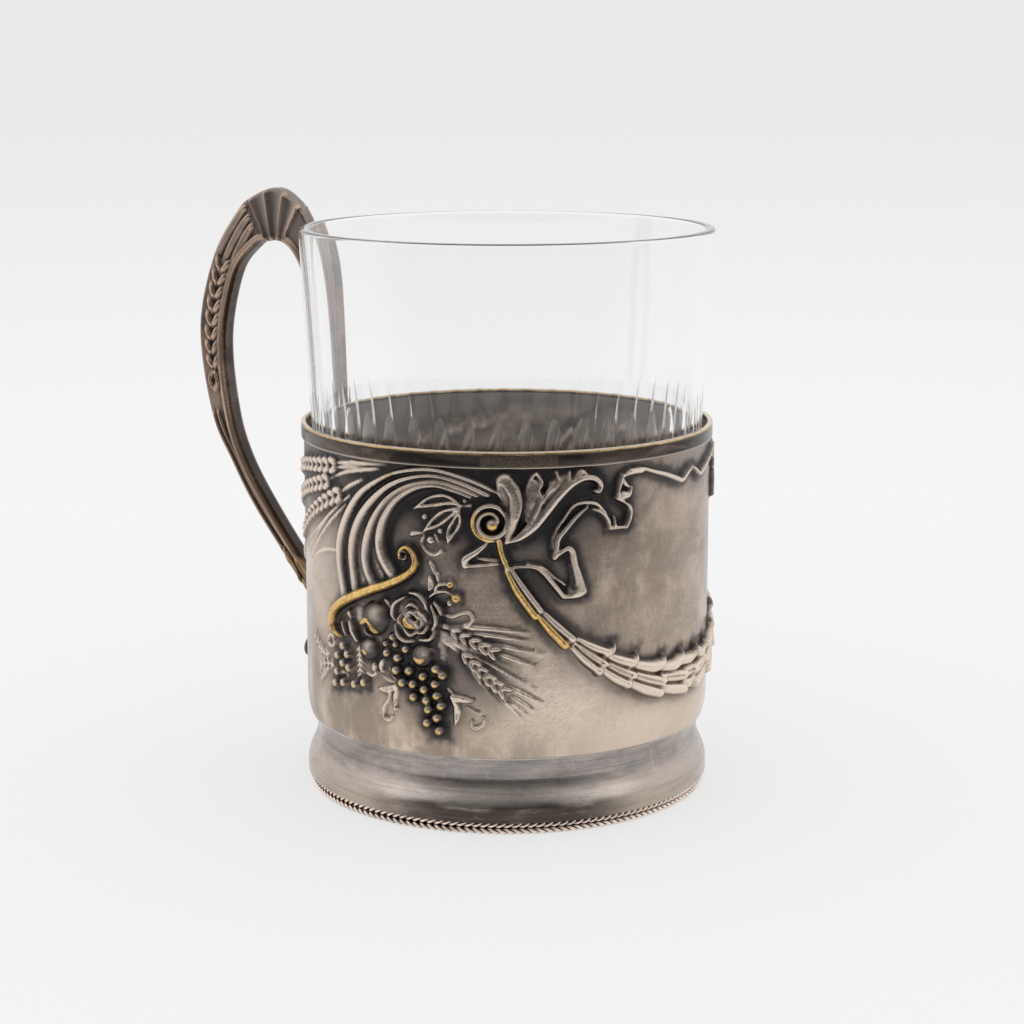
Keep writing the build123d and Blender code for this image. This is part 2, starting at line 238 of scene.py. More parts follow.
def twisted_wire(name, material):
    """A node tree that twists two strands round a ring, and the identifiers of its inputs."""
    tree = bpy.data.node_groups.new(name, "GeometryNodeTree")
    tree.interface.new_socket("Geometry", in_out="OUTPUT", socket_type="NodeSocketGeometry")
    sockets = {}
    for label in ("Ring radius", "Height", "Strand radius", "Turns"):
        socket = tree.interface.new_socket(label, in_out="INPUT", socket_type="NodeSocketFloat")
        sockets[label] = socket.identifier
    nodes = Nodes(tree)
    given = nodes.add("NodeGroupInput").outputs

    def circle(resolution, radius):
        return nodes.add("GeometryNodeCurvePrimitiveCircle",
                         {"Resolution": resolution, "Radius": radius}).outputs["Curve"]

    ring = circle(trim_turns * trim_steps, given["Ring radius"])
    share = nodes.add("GeometryNodeSplineParameter").outputs["Factor"]
    outward = nodes.vector("NORMALIZE", nodes.add("GeometryNodeInputPosition").outputs[0])
    section = circle(9, given["Strand radius"])
    strands = []
    for start in (0.0, np.pi):
        turn = nodes.math("MULTIPLY", nodes.math("MULTIPLY", share, given["Turns"]), 2 * np.pi)
        turn = nodes.math("ADD", turn, start)
        out = nodes.math("MULTIPLY", nodes.math("COSINE", turn), given["Strand radius"])
        rise = nodes.math("MULTIPLY", nodes.math("SINE", turn), given["Strand radius"])
        rise = nodes.math("ADD", rise, given["Height"])
        sideways = nodes.add("ShaderNodeVectorMath", {0: outward, "Scale": out}, operation="SCALE").outputs[0]
        upward = nodes.add("ShaderNodeCombineXYZ", {"Z": rise}).outputs[0]
        moved = {"Geometry": ring, "Offset": nodes.vector("ADD", sideways, upward)}
        path = nodes.add("GeometryNodeSetPosition", moved).outputs["Geometry"]
        strand = nodes.add("GeometryNodeCurveToMesh", {"Curve": path, "Profile Curve": section})
        strands.append(strand.outputs["Mesh"])
    join = nodes.add("GeometryNodeJoinGeometry")
    for strand in reversed(strands):
        tree.links.new(strand, join.inputs[0])
    real = nodes.add("GeometryNodeRealizeInstances", {"Geometry": join.outputs[0]}).outputs[0]
    smooth = nodes.add("GeometryNodeSetShadeSmooth", {"Geometry": real}).outputs[0]
    done = nodes.add("GeometryNodeSetMaterial", {"Geometry": smooth, "Material": material}).outputs[0]
    nodes.add("NodeGroupOutput", {0: done})
    return tree, sockets


look = Look("trim_metal")
place = look.place()
cloud = look.noise(place, 300.0, 3.0)
from_axis = look.vector("LENGTH", look.stretched(place, (1.0, 1.0, 0.0)))
colour = look.mix(look.ramp(from_axis, 0.03515, 0.03556), tone(0.27, 0.22, 0.19), tone(0.95, 0.80, 0.69))
colour = look.stain(colour, cloud, 0.5, 0.7, 0.2, (0.16, 0.14, 0.12))
trim_metal = look.metal(colour, look.ramp(cloud, 0.3, 0.7, 0.22, 0.32), cloud, 0.00002)
trim_tree, trim_sockets = twisted_wire("twisted_wire", trim_metal)
for trim_node, (trim_height, trim_hand) in trim_heights.items():
    trim_seed = bpy.data.objects.new(trim_node + "_seed", bpy.data.meshes.new(trim_node + "_seed"))
    bpy.context.collection.objects.link(trim_seed)
    twist = trim_seed.modifiers.new("twist", "NODES")
    twist.node_group = trim_tree
    twist[trim_sockets["Ring radius"]] = trim_radius / 1000
    twist[trim_sockets["Height"]] = trim_height / 1000
    twist[trim_sockets["Strand radius"]] = trim_strand_radius / 1000
    twist[trim_sockets["Turns"]] = trim_turns * trim_hand
    evaluated = trim_seed.evaluated_get(bpy.context.evaluated_depsgraph_get())
    trim_made = bpy.data.meshes.new_from_object(evaluated)
    bpy.data.objects.remove(trim_seed)
    trim_piece = bpy.data.objects.new(trim_node + "_twisted", trim_made)
    bpy.context.collection.objects.link(trim_piece)
    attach(trim_piece, "holder")
    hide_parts(trim_node)

# Sleeve: a tube of stamped sheet, silver plated, with horns of plenty, fruit, wheat, ribbon and garland.
# The sheet was pressed from inside, so that its back shows the same relief hollow. The raised parts are worn
# bright or gilded, and the ground near them is dark with patina. Shade, highlights and a warm reflection at
# the base are painted in as well.

sleeve_radius = 36.0
sleeve_low, sleeve_high = 13.4, 64.9
sleeve_wall = 0.5
sleeve_cells = (1128, 512)
tuck_depth, tuck_height = 0.5, 3.4
middle = 38.0
half_turn = np.pi * sleeve_radius


def smooth_path(points, step=0.12):
    """Points along the smooth curve through the given ones, and how far along each is, from 0 to 1."""
    p = np.asarray(points, float)
    p = np.vstack([2 * p[0] - p[1], p, 2 * p[-1] - p[-2]])
    pieces = len(p) - 3
    spots, share = [], []
    for i in range(pieces):
        a, b, c, d = p[i:i + 4]
        count = max(2, int(np.hypot(*(c - b)) / step))
        t = np.arange(count)[:, None] / count
        bend = (2 * a - 5 * b + 4 * c - d) * t**2 + (3 * b - a - 3 * c + d) * t**3
        spots.append(0.5 * (2 * b + (c - a) * t + bend))
        share.append((i + t[:, 0]) / pieces)
    return np.vstack(spots + [p[-2:-1]]), np.concatenate(share + [[1.0]])


def spread_over(values, share):
    """Values given at equal steps of a curve, at these shares of it."""
    values = np.atleast_1d(values).astype(float)
    return np.interp(share, np.linspace(0, 1, len(values)), values)


class Relief:
    """Heights and gilding in millimetres over a flat field, raised one form at a time."""

    def __init__(self, left, right, low, high, columns, rows):
        self.across = np.linspace(left, right, columns + 1)
        self.up = np.linspace(low, high, rows + 1)
        self.pitch = self.across[1] - self.across[0]
        self.rise = self.up[1] - self.up[0]
        self.height = np.zeros((rows + 1, columns + 1))
        self.gilt = np.zeros_like(self.height)

    def span(self, low, high, axis, step):
        """The cells between two places on an axis."""
        first = int(np.clip(np.floor((low - axis[0]) / step), 0, len(axis) - 1))
        last = int(np.clip(np.ceil((high - axis[0]) / step) + 1, first + 1, len(axis)))
        return slice(first, last)

    def swept(self, points, width, height, power):
        """The window that a rounded bar covers, and its height there."""
        if len(points) > 1:
            spots, share = smooth_path(points)
        else:
            spots, share = np.asarray(points, float), np.zeros(1)
        halves = np.maximum(spread_over(width, share) / 2, 0.07)
        tops = spread_over(height, share)
        reach = halves.max()
        rows = self.span(spots[:, 1].min() - reach, spots[:, 1].max() + reach, self.up, self.rise)
        columns = self.span(spots[:, 0].min() - reach, spots[:, 0].max() + reach, self.across, self.pitch)
        field = np.zeros_like(self.height)
        for (u, z), half, top in zip(spots, halves, tops):
            r = self.span(z - half, z + half, self.up, self.rise)
            c = self.span(u - half, u + half, self.across, self.pitch)
            away = ((self.up[r, None] - z) ** 2 + (self.across[None, c] - u) ** 2) / half**2
            np.maximum(field[r, c], top * np.clip(1 - away, 0, 1) ** power, out=field[r, c])
        return (rows, columns), field[rows, columns]

    def bar(self, points, width, height, gilt=0.0, power=0.5, on=0.0):
        """Raise a rounded bar along a curve. on is how high it lies above the ground."""
        window, lift = self.swept(points, width, height, power)
        raised = np.where(lift > 0, lift + on, 0)
        over = raised > self.height[window]
        shine = gilt * np.clip(lift / np.max(height), 0, 1) ** 0.7
        self.gilt[window] = np.where(over, shine, self.gilt[window])
        self.height[window] = np.maximum(self.height[window], raised)

    def groove(self, points, width, depth, power=0.5):
        """Cut along a curve, down to the ground at most."""
        window, cut = self.swept(points, width, depth, power)
        self.height[window] = np.maximum(self.height[window] - cut, 0)

    def bead(self, u, z, radius, height, gilt=0.0, on=0.0, power=0.5):
        self.bar([(u, z)], 2 * radius, height, gilt, power, on)

    def touch(self, points, width, gilt):
        """Lay gold along a curve without raising it."""
        window, spot = self.swept(points, width, gilt, 0.8)
        self.gilt[window] = np.maximum(self.gilt[window], spot)

    def leaf(self, points, width, height, vein=0.3, gilt=0.0):
        """A pointed leaf with a raised rim and a sunk middle."""
        self.bar(points, [0.25, 0.75 * width, width, 0.8 * width, 0.15], height, gilt, 0.4)
        spots, _ = smooth_path(points)
        inside = spots[int(0.18 * len(spots)):int(0.82 * len(spots))]
        self.groove(inside[:: max(1, len(inside) // 5)], [0.15, 0.55 * width, 0.6 * width, 0.15], vein)

    def grain(self, u, z, angle, length, width, height, gilt=0.0):
        """One plump grain, highest towards its pointed end."""
        du, dz = 0.5 * length * np.cos(angle), 0.5 * length * np.sin(angle)
        line = [(u - du, z - dz), (u - 0.4 * du, z - 0.4 * dz), (u + 0.4 * du, z + 0.4 * dz),
                (u + du, z + dz)]
        widths, heights = np.array([0.45, 1.0, 0.9, 0.25]) * width, np.array([0.4, 0.85, 1.0, 0.75]) * height
        self.bar(line, widths, heights, gilt, 0.45)

    def ear(self, points, pairs, length, width, height, spread, gap, gilt=0.0, grow=(1.0, 1.0)):
        """A wheat ear: pairs of grains set herringbone-wise along a stem."""
        spots, share = smooth_path(points)
        for k in range(pairs):
            i = int((k + 0.5) / pairs * (len(spots) - 2))
            ahead = spots[min(i + 2, len(spots) - 1)] - spots[max(i - 2, 0)]
            heading = np.arctan2(ahead[1], ahead[0])
            size = np.interp(share[i], [0, 1], grow)
            side = np.array([-np.sin(heading), np.cos(heading)]) * gap * size
            for sign in (-1, 1):
                u, z = spots[i] + sign * side
                self.grain(u, z, heading + sign * spread, length * size, width * size, height, gilt)

    def curl(self, u, z, start_radius, end_radius, start, turns, width, height):
        """A spiral scroll. start is in degrees, and turns is negative where it runs clockwise."""
        t = np.linspace(0, 1, int(12 + 28 * abs(turns)))
        angle = np.radians(start) + t * turns * 2 * np.pi
        radius = start_radius + (end_radius - start_radius) * t
        self.bar(np.c_[u + radius * np.cos(angle), z + radius * np.sin(angle)], width, height)

    def fern(self, points, leaflets, length, height):
        """A stem with small leaflets on both sides."""
        self.bar(points, [0.4, 0.5, 0.25], height)
        spots, _ = smooth_path(points)
        for k in range(leaflets):
            i = int((k + 0.5) / leaflets * (len(spots) - 2))
            heading = np.arctan2(*(spots[i + 1] - spots[i])[::-1])
            for sign in (-0.75, 0.75):
                tip = spots[i] + length * np.array([np.cos(heading + sign), np.sin(heading + sign)])
                self.bar([spots[i], 0.5 * (spots[i] + tip), tip], [0.3, 0.55, 0.2], 0.85 * height)

    def soften(self, field, reach):
        """The field blurred over a reach in millimetres, as if mirrored at its edges."""
        margin = int(4 * reach / self.pitch)
        wide = np.pad(field, margin, mode="symmetric")
        slow = np.fft.fftfreq(wide.shape[0], self.rise)[:, None] ** 2
        slow = slow + np.fft.rfftfreq(wide.shape[1], self.pitch)[None, :] ** 2
        soft = np.fft.irfft2(np.fft.rfft2(wide) * np.exp(-2 * (np.pi * reach) ** 2 * slow), wide.shape)
        return soft[margin:-margin, margin:-margin]


art = Relief(middle - half_turn, middle, sleeve_low, sleeve_high, *sleeve_cells)

# Wheat behind the horn: three ears on long stalks, and their awns
for line, pairs in (
    ([(-33.0, 60.9), (-40, 60.0), (-47, 59.0), (-54, 57.4), (-60, 55.4)], 13),
    ([(-35.3, 57.9), (-42, 56.1), (-48, 54.3), (-54, 52.0), (-59, 49.8)], 12),
    ([(-31.6, 56.3), (-37, 54.0), (-42, 51.5), (-46.5, 48.8), (-51, 45.6)], 11),
):
    art.ear(line, pairs, length=2.25, width=1.5, height=0.75, spread=0.42, gap=0.78, gilt=0.1,
            grow=(1.0, 0.7))
for line in (
    [(-33.2, 61.3), (-28, 62.0), (-20, 62.5)], [(-33.4, 60.5), (-29, 61.2), (-25, 61.7)],
    [(-35.2, 58.3), (-30, 60.2), (-24, 61.4), (-21.5, 61.7)], [(-31.4, 56.7), (-28.5, 58.3), (-25, 59.8)],
    [(-29.2, 56.3), (-34, 53.0), (-40, 49.0), (-48.5, 44.2)],
    [(-30.2, 54.7), (-35, 51.0), (-40.5, 46.3), (-44, 42.6)], [(-35.0, 52.2), (-39, 49.0), (-43, 45.4)],
    [(-32.2, 46.3), (-37, 45.6), (-41, 44.0), (-43.5, 41.6)], [(-58, 57.6), (-64, 56.8), (-71, 57.0)],
    [(-58, 55.0), (-64, 53.2), (-71, 52.0)], [(-57, 49.6), (-63, 46.6), (-70, 44.4)],
    [(-50, 44.8), (-55, 41.0), (-60, 38.4)],
):
    art.bar(line, [0.5, 0.82, 0.72, 0.4], [0.25, 0.42, 0.36, 0.12])

# Horn: four broad ribs that draw together towards the scroll
art.bar([(-3, 58.6), (-11, 61.0), (-19, 58.6), (-24.5, 52.5), (-26.2, 47), (-26, 42.5)],
        [1.5, 3.2, 5.2, 8.4, 10.5, 10.2], [0.3, 0.4, 0.5, 0.55, 0.55, 0.5], power=0.35)
for line in (
    [(-0.8, 58.7), (-6, 61.0), (-12, 62.4), (-18, 61.6), (-22, 59.8), (-26, 57), (-29, 53), (-30.8, 49),
     (-31.2, 45), (-30.2, 39.4)],
    [(-2.6, 58.4), (-7, 60.3), (-11.5, 61.4), (-16, 60.8), (-20, 59), (-24, 55.5), (-26.8, 51.5), (-28.0, 47),
     (-27.4, 40.8)],
    [(-4.5, 58.3), (-8, 59.7), (-11.5, 60.5), (-16, 59.6), (-20, 57), (-23, 53), (-24.7, 48.5), (-24.6, 44.8),
     (-23.4, 42.2)],
    [(-5.6, 58.1), (-8.5, 59.1), (-11.5, 59.8), (-15, 59.1), (-18.5, 56.8), (-20.9, 53.4), (-21.8, 50),
     (-21.3, 47), (-19.6, 44.4)],
):
    art.bar(line, [0.5, 0.75, 0.95, 1.5, 2.15, 2.5, 2.5], [0.6, 0.85, 1.1, 1.35, 1.45, 1.45, 1.25],
            power=0.45)
art.bar([(-19, 61.3), (-23.6, 58.8), (-27, 55.9), (-29.3, 52.4), (-30.9, 48.4), (-31.2, 45)], 0.35, 1.36,
        gilt=0.8, power=0.2)

# Scroll at the horn's tip
art.curl(-2.2, 54.0, start_radius=3.2, end_radius=2.5, start=-80, turns=-1.0, width=[0.6, 1.1, 1.4, 1.25],
         height=[0.9, 1.25, 1.4, 1.4])
art.curl(-2.2, 54.0, start_radius=2.5, end_radius=1.2, start=-80, turns=-0.75, width=[1.25, 1.1, 0.9],
         height=[1.4, 1.4, 1.4])
art.bead(-2.0, 53.7, 1.3, 1.6)
art.touch([(-3.9, 56.2), (-5.1, 54.4), (-4.7, 52.4), (-3.1, 51.2), (-1.7, 50.9)], [0.4, 0.9, 1.0, 0.8, 0.4],
          gilt=1.0)
art.touch([(-2.0, 53.2)], 2.0, gilt=1.0)
art.touch([(-3.4, 54.6), (-2.6, 55.6), (-1.4, 55.6)], [0.3, 0.5, 0.3], gilt=0.8)

# Gilded lip of the horn's mouth, with its curl
art.bar([(-18.0, 47.0), (-17.9, 48.3), (-16.8, 49.1), (-15.6, 48.4), (-15.0, 46.9), (-15.4, 45.5),
         (-17.0, 44.1), (-20, 42.5), (-24, 40.9), (-28, 39.1), (-31.3, 37.3), (-33.2, 35.5), (-33.7, 33.5),
         (-33.0, 32.2), (-31.6, 31.4)],
        [0.5, 0.7, 0.9, 1.1, 1.35, 1.6, 1.75, 1.7, 1.3, 0.8, 0.5],
        [1.1, 1.3, 1.5, 1.7, 1.9, 1.9, 1.9, 1.7, 1.3], gilt=1.0, power=0.35)
art.curl(-17.3, 47.4, start_radius=0.9, end_radius=0.35, start=60, turns=0.9, width=0.45, height=0.9)

# Leaf spray in the hollow of the horn
for line, width in (
    ([(-6.9, 56.6), (-9.5, 57.5), (-12.5, 57.0), (-15.6, 55.6)], 2.2),
    ([(-7.2, 56.3), (-9.4, 55.2), (-11.6, 53.6), (-13.8, 51.8)], 2.2),
    ([(-7.3, 56.0), (-7.9, 54.0), (-8.9, 52.0), (-9.4, 50.0)], 1.9),
):
    art.leaf(line, width, 0.85, vein=0.8)
art.bar([(-8.0, 56.2), (-6.8, 56.6), (-5.4, 56.7)], 0.4, 0.5)
for u, z, r in ((-13.5, 54.4, 0.55), (-10.8, 52.2, 0.5), (-12.5, 50.5, 0.7), (-6.6, 57.4, 0.4)):
    art.bead(u, z, r, 0.6)
art.bar([(-15.8, 51.3), (-14.8, 51.5), (-13.5, 51.7)], [1.0, 0.5, 0.3], 0.5)
art.bar([(-13.6, 51.3), (-14.1, 50), (-13.2, 48.5), (-11.8, 48.0), (-10.6, 48.7)], [0.3, 0.5, 0.5, 0.5, 0.8],
        0.55)
art.bar([(-11.6, 51.4), (-11.1, 50.4)], [0.6, 0.3], 0.45)

# Bow below the scroll
art.bar([(-2.3, 51.0), (-4.4, 49.1), (-6.4, 47.7), (-6.5, 46.6)], [0.5, 1.1, 1.5, 1.3], [0.6, 0.8, 0.9, 0.8],
        power=0.3)
art.bar([(-6.4, 46.5), (-3.8, 46.7), (-0.9, 47.0)], [0.8, 0.6, 0.5], 0.75)
art.bar([(-4.6, 47.9), (-2.6, 47.6), (-1.0, 47.6)], [0.3, 0.4, 0.4], 0.6)

# Acanthus beside the scroll: a curled leaf, a lobed leaf, and a long leaf that ends in a small scroll
art.bar([(0.2, 50.5), (0.9, 53.0), (1.3, 55.2), (1.3, 57.2), (0.8, 59.2), (0.0, 60.7)],
        [0.8, 2.3, 3.2, 3.9, 4.3, 3.4], [0.7, 1.1, 1.4, 1.5, 1.5, 1.3])
art.groove([(0.3, 53.2), (0.3, 55.6), (0.1, 57.8), (-0.5, 59.6)], [0.7, 1.5, 1.9, 1.3], [0.3, 0.55, 0.6, 0.4],
           power=1.0)
art.bar([(0.9, 52.6), (2.1, 54.8), (2.6, 57.2), (2.2, 59.4), (1.0, 61.3)], [0.5, 0.8, 0.9, 0.9, 0.6],
        [1.0, 1.45, 1.6, 1.6, 1.4])
art.bar([(3.6, 54.5), (4.4, 57.4), (4.7, 60.2)], [1.2, 2.8, 2.2], [0.7, 0.95, 0.8])
art.bar([(1.7, 51.3), (3.7, 53.3), (5.0, 55.5), (5.8, 57.7), (5.4, 59.3), (6.0, 60.6), (5.2, 62.1)],
        [0.7, 1.2, 1.5, 1.5, 1.1, 1.0, 0.6], [0.7, 1.0, 1.2, 1.2, 1.05, 0.95, 0.6])
art.bar([(5.1, 62.1), (4.4, 61.3), (3.5, 59.3), (3.2, 57.0)], [0.5, 0.7, 0.7, 0.3], [0.7, 0.8, 0.7, 0.3])
art.bar([(3.5, 59.3), (4.6, 59.6), (5.5, 59.4)], 0.5, 0.7)
art.bar([(6.6, 57.2), (8.2, 59.6), (10.4, 61.2)], [1.2, 2.8, 1.8], [0.6, 0.85, 0.6])
art.bar([(0.4, 50.6), (2.6, 51.5), (4.9, 53.4), (6.8, 55.8), (8.8, 58.3), (10.9, 60.2), (13.0, 61.1),
         (14.9, 60.9), (16.0, 59.8), (15.7, 58.7), (14.9, 58.8)],
        [0.6, 1.4, 1.9, 2.0, 2.0, 1.8, 1.5, 1.4, 1.3, 1.1, 0.8], [0.7, 1.0, 1.25, 1.3, 1.3, 1.25, 1.2],
        power=0.45)
for line in (
    [(6.2, 57.2), (7.2, 59.2), (8.7, 60.4), (8.5, 62.2)], [(9.2, 59.6), (10.3, 60.9), (10.7, 62.2)],
    [(11.4, 60.9), (12.6, 62.1), (13.8, 61.6)],
):
    art.bar(line, [1.0, 1.3, 1.1, 0.6], [1.0, 1.05, 0.8])

# Ribbon: flat bands that fold over and fall to a cut end
for line, width, height in (
    ([(20.3, 61.0), (19.8, 59.6), (19.1, 57.4)], [0.5, 0.9, 0.5], 0.85),
    ([(20.3, 60.6), (20.8, 59.5), (21.5, 58.9)], [0.5, 0.8, 0.5], 0.6),
    ([(19.0, 57.3), (20.4, 57.5), (21.5, 57.6), (22.0, 58.8)], [0.5, 1.5, 1.0, 0.5], 0.85),
    ([(19.1, 57.1), (20.8, 56.2), (21.8, 55.2), (21.7, 53.6), (21.0, 52.1)], [0.5, 0.5, 0.8, 0.9, 0.7], 0.9),
    ([(21.0, 52.1), (19.4, 52.2), (17.8, 52.2)], [0.6, 0.7, 0.7], 0.85),
    ([(17.8, 52.2), (17.6, 53.6), (16.4, 55.0), (14.8, 55.7)], [0.7, 0.7, 0.6, 0.4], 0.8),
    ([(18.9, 52.3), (18.8, 54.0)], [0.7, 0.3], 0.7),
    ([(17.2, 54.8), (15.4, 56.5), (13.2, 56.9), (11.2, 56.3), (9.4, 53.9)], [0.3, 0.7, 0.6, 0.6, 0.5], 0.8),
    ([(13.8, 56.2), (11.8, 54.6), (10.0, 52.6), (8.8, 51.1), (8.5, 49.5), (8.2, 48.0)],
     [0.4, 0.7, 0.8, 0.9, 0.9, 1.0], 0.9),
    ([(9.2, 53.6), (8.0, 51.4), (7.8, 49.6)], [0.5, 0.5, 0.4], 0.5),
    ([(8.1, 47.9), (9.2, 48.8), (10.5, 49.4), (11.2, 48.6), (11.5, 46.4), (12.0, 44.0), (12.1, 41.9)],
     [0.8, 0.8, 0.9, 1.1, 1.4, 2.0, 2.9], 0.9),
    ([(13.4, 41.9), (11.8, 41.3), (9.8, 41.2)], [0.7, 0.8, 0.8], 0.85),
    ([(9.7, 41.3), (7.9, 43.6), (6.2, 45.6), (4.6, 46.5), (1.4, 46.5)], [0.9, 0.9, 0.8, 0.7, 0.4], 0.85),
    ([(10.0, 43.2), (8.2, 44.6), (6.2, 46.4), (3.6, 47.1)], [0.4, 0.4, 0.4, 0.3], 0.6),
    ([(20.4, 60.7), (22.0, 61.3), (24.2, 61.4)], [0.4, 1.0, 1.1], 0.8),
    ([(21.8, 61.7), (24.4, 61.6), (27, 60.8), (30, 59.9), (33.0, 58.8), (34.7, 58.3), (36.2, 59.2),
      (38.2, 60.2)],
     [0.4, 0.7, 0.8, 0.9, 1.0, 0.9, 0.8, 0.5], 0.85),
):
    art.bar(line, 1.3 * np.array(width), 1.1 * height, power=0.4)
art.groove([(8.6, 40.0), (11.4, 40.0), (13.2, 40.4), (14.8, 41.4)], [1.3, 1.5, 1.5, 1.3], 2.0, power=0.2)
art.groove([(10.6, 47.6), (11.0, 45.2), (11.2, 42.8)], [0.4, 0.9, 1.5], [0.3, 0.5, 0.55], power=1.0)

# Garland: bundles of long leaves, each tucked into the next, gilded on the first ones
art.bar([(-0.9, 51), (-0.6, 49.2), (0.0, 47.2)], [1.2, 1.1, 1.0], 1.0, gilt=0.7, power=0.4)
art.bar([(0.1, 47.6), (0.4, 46.2)], [1.0, 1.2], 1.05, gilt=0.5)
for lines, width, gilt in (
    ([[(0.3, 46.0), (2.2, 42.3), (5.0, 38.2)], [(1.0, 46.2), (3.1, 42.9), (5.8, 39.1)]], [1.0, 1.5, 1.55],
     1.0),
    ([[(5.6, 38.2), (7.8, 35.5), (10.0, 33.0)], [(6.1, 38.9), (8.6, 36.3), (11.2, 34.0)]], [1.3, 1.8, 1.7],
     1.0),
    ([[(11.4, 32.4), (13.6, 30.0), (15.9, 28.0)], [(11.9, 33.0), (14.5, 30.9), (17.2, 28.9)],
      [(12.3, 33.7), (14.8, 32.2), (17.9, 31.0)]], [1.2, 1.7, 1.5], 0.0),
    ([[(16.7, 28.2), (19.3, 26.3), (21.6, 25.0)], [(17.3, 29.2), (20.0, 27.6), (22.7, 26.2)],
      [(17.6, 30.4), (20.2, 29.2), (22.6, 28.5)]], [1.5, 2.0, 1.9], 0.0),
    ([[(22.3, 25.0), (25.7, 23.4), (28.8, 22.2)], [(22.6, 26.5), (26.1, 25.1), (29.8, 23.8)],
      [(23.3, 28.0), (26.7, 27.0), (29.0, 27.0)]], [1.7, 2.3, 2.1], 0.0),
    ([[(29.6, 22.8), (32.9, 22.0), (35.8, 21.4)], [(29.9, 24.6), (32.9, 24.2), (36.2, 23.8)],
      [(30.0, 26.4), (32.6, 26.1), (34.4, 26.8)]], [1.8, 2.3, 2.1], 0.0),
    ([[(36.2, 22.3), (38.6, 21.9), (41.0, 22.0)], [(36.4, 24.2), (38.6, 24.0), (41.0, 24.1)],
      [(35.6, 26.4), (38.6, 26.2), (41.0, 26.4)]], [1.9, 2.2, 2.2], 0.0),
):
    for k, line in enumerate(lines):
        art.bar(line, width, [0.85, 1.25, 1.45], gilt=gilt if k == 0 else 0.0, power=0.38)
    for first, second in zip(lines, lines[1:]):
        art.groove(0.5 * (np.array(first) + np.array(second)), 0.32, 0.7 if len(lines) == 3 else 0.25)
    if len(lines) == 3:
        low, broad, upper = (np.array(line) for line in lines)
        art.groove([broad[0] * 0.7 + broad[1] * 0.3, broad[1], broad[1] * 0.3 + broad[2] * 0.7],
                   [0.3, 0.42, 0.3], 0.6)
        art.bead(low[2][0], low[2][1], 1.05, 1.55)
        art.bar([upper[2] - (0.5, 0.1), upper[2] + (0.6, 0.4), upper[2] + (1.1, 1.8)], [1.9, 1.4, 0.25],
                [1.4, 1.4, 1.0])

# Fruit at the horn's mouth: a low mound first, then the fruit on it
art.bar([(-29.5, 33.8), (-25, 34.8), (-19, 34.8), (-14, 33.5), (-13, 27), (-12, 21)],
        [3.5, 7.5, 9.5, 8.5, 5.5, 2.6], [0.2, 0.3, 0.35, 0.35, 0.3, 0.2], power=0.3)
art.bead(-22.9, 36.2, 2.95, 1.95)
art.bar([(-25.3, 35.0), (-24.3, 35.8), (-23.4, 35.4), (-22.9, 34.5), (-22.2, 34.0)],
        [0.7, 1.2, 1.0, 1.2, 0.8], 2.1, gilt=0.95, power=0.3)
art.groove([(-24.2, 34.6), (-23.9, 34.0)], [0.7, 0.9], 1.0)
art.bar([(-25.4, 34.2), (-24.6, 33.2), (-23.4, 32.9)], [0.4, 0.7, 0.4], 1.3)
art.bead(-24.4, 30.6, 2.05, 1.7)
art.bead(-13.9, 30.8, 2.15, 1.75)
art.touch([(-25.0, 30.3), (-24.4, 29.8)], [1.0, 0.8], gilt=0.9)
art.touch([(-15.0, 30.4), (-14.2, 29.9), (-13.4, 30.3)], [0.8, 1.2, 0.6], gilt=1.0)
art.groove([(-13.4, 31.4), (-12.6, 31.7), (-12.2, 31.1)], [0.5, 0.9, 0.6], 0.7)
art.bar([(-13.2, 31.8), (-12.2, 32.1), (-11.6, 31.6)], [0.4, 0.5, 0.3], 1.2)
art.bar([(-28.8, 34.6), (-27.9, 33.2), (-27.1, 31.6)], [1.1, 1.7, 1.2], [1.2, 1.6, 1.2], gilt=0.25)
art.bar([(-31.0, 34.2), (-30.5, 33.0), (-29.8, 32.0)], [0.7, 1.1, 0.8], 1.1)
art.bar([(-29.2, 36.0), (-28.8, 35.6)], [1.3, 1.2], 1.0)
art.bar([(-21.0, 39.6), (-20.2, 38.9), (-19.9, 38.2)], [0.6, 0.9, 0.5], 0.8)

# Rose: outer petals round a bud
art.bead(-15.4, 36.9, 3.7, 0.85, power=0.3)
for line in (
    [(-16.9, 40.6), (-18.8, 39.3), (-19.3, 37.5), (-18.8, 36.4)],
    [(-16.2, 41.4), (-14.6, 41.3), (-13.4, 40.2), (-13.0, 38.7)],
    [(-12.3, 39.6), (-11.5, 38.0), (-11.4, 36.5), (-12.1, 35.4)],
    [(-11.6, 35.2), (-12.4, 33.8), (-14.4, 33.5)],
    [(-18.9, 35.6), (-18.2, 33.9), (-17.0, 33.1), (-15.3, 33.1)],
    [(-11.8, 40.2), (-10.8, 39.2), (-10.5, 38.0)],
):
    art.bar(line, [0.6, 1.05, 1.05, 0.6], [1.1, 1.4, 1.4, 1.1])
art.bead(-15.4, 36.9, 2.45, 1.55, gilt=0.1)
for line, gilt in (
    ([(-16.7, 38.8), (-15.6, 39.6), (-14.5, 39.0)], 0.0),
    ([(-17.5, 37.6), (-17.8, 36.6), (-17.1, 35.5)], 0.35),
    ([(-17.1, 35.2), (-15.7, 34.3), (-14.6, 34.9)], 0.4),
    ([(-14.4, 34.7), (-13.3, 35.0), (-12.8, 36.0)], 0.1),
    ([(-14.4, 38.4), (-13.3, 37.7), (-12.9, 36.7)], 0.1),
):
    art.bar(line, [0.5, 0.95, 0.5], [1.5, 1.95, 1.5], gilt=gilt)
art.bar([(-16.7, 36.9), (-16.2, 36.0), (-15.2, 35.7)], [0.8, 1.3, 0.8], 2.1, gilt=1.0)
art.bar([(-16.2, 38.0), (-15.6, 38.3), (-14.9, 37.9)], [0.5, 0.8, 0.5], 2.0, gilt=0.2)
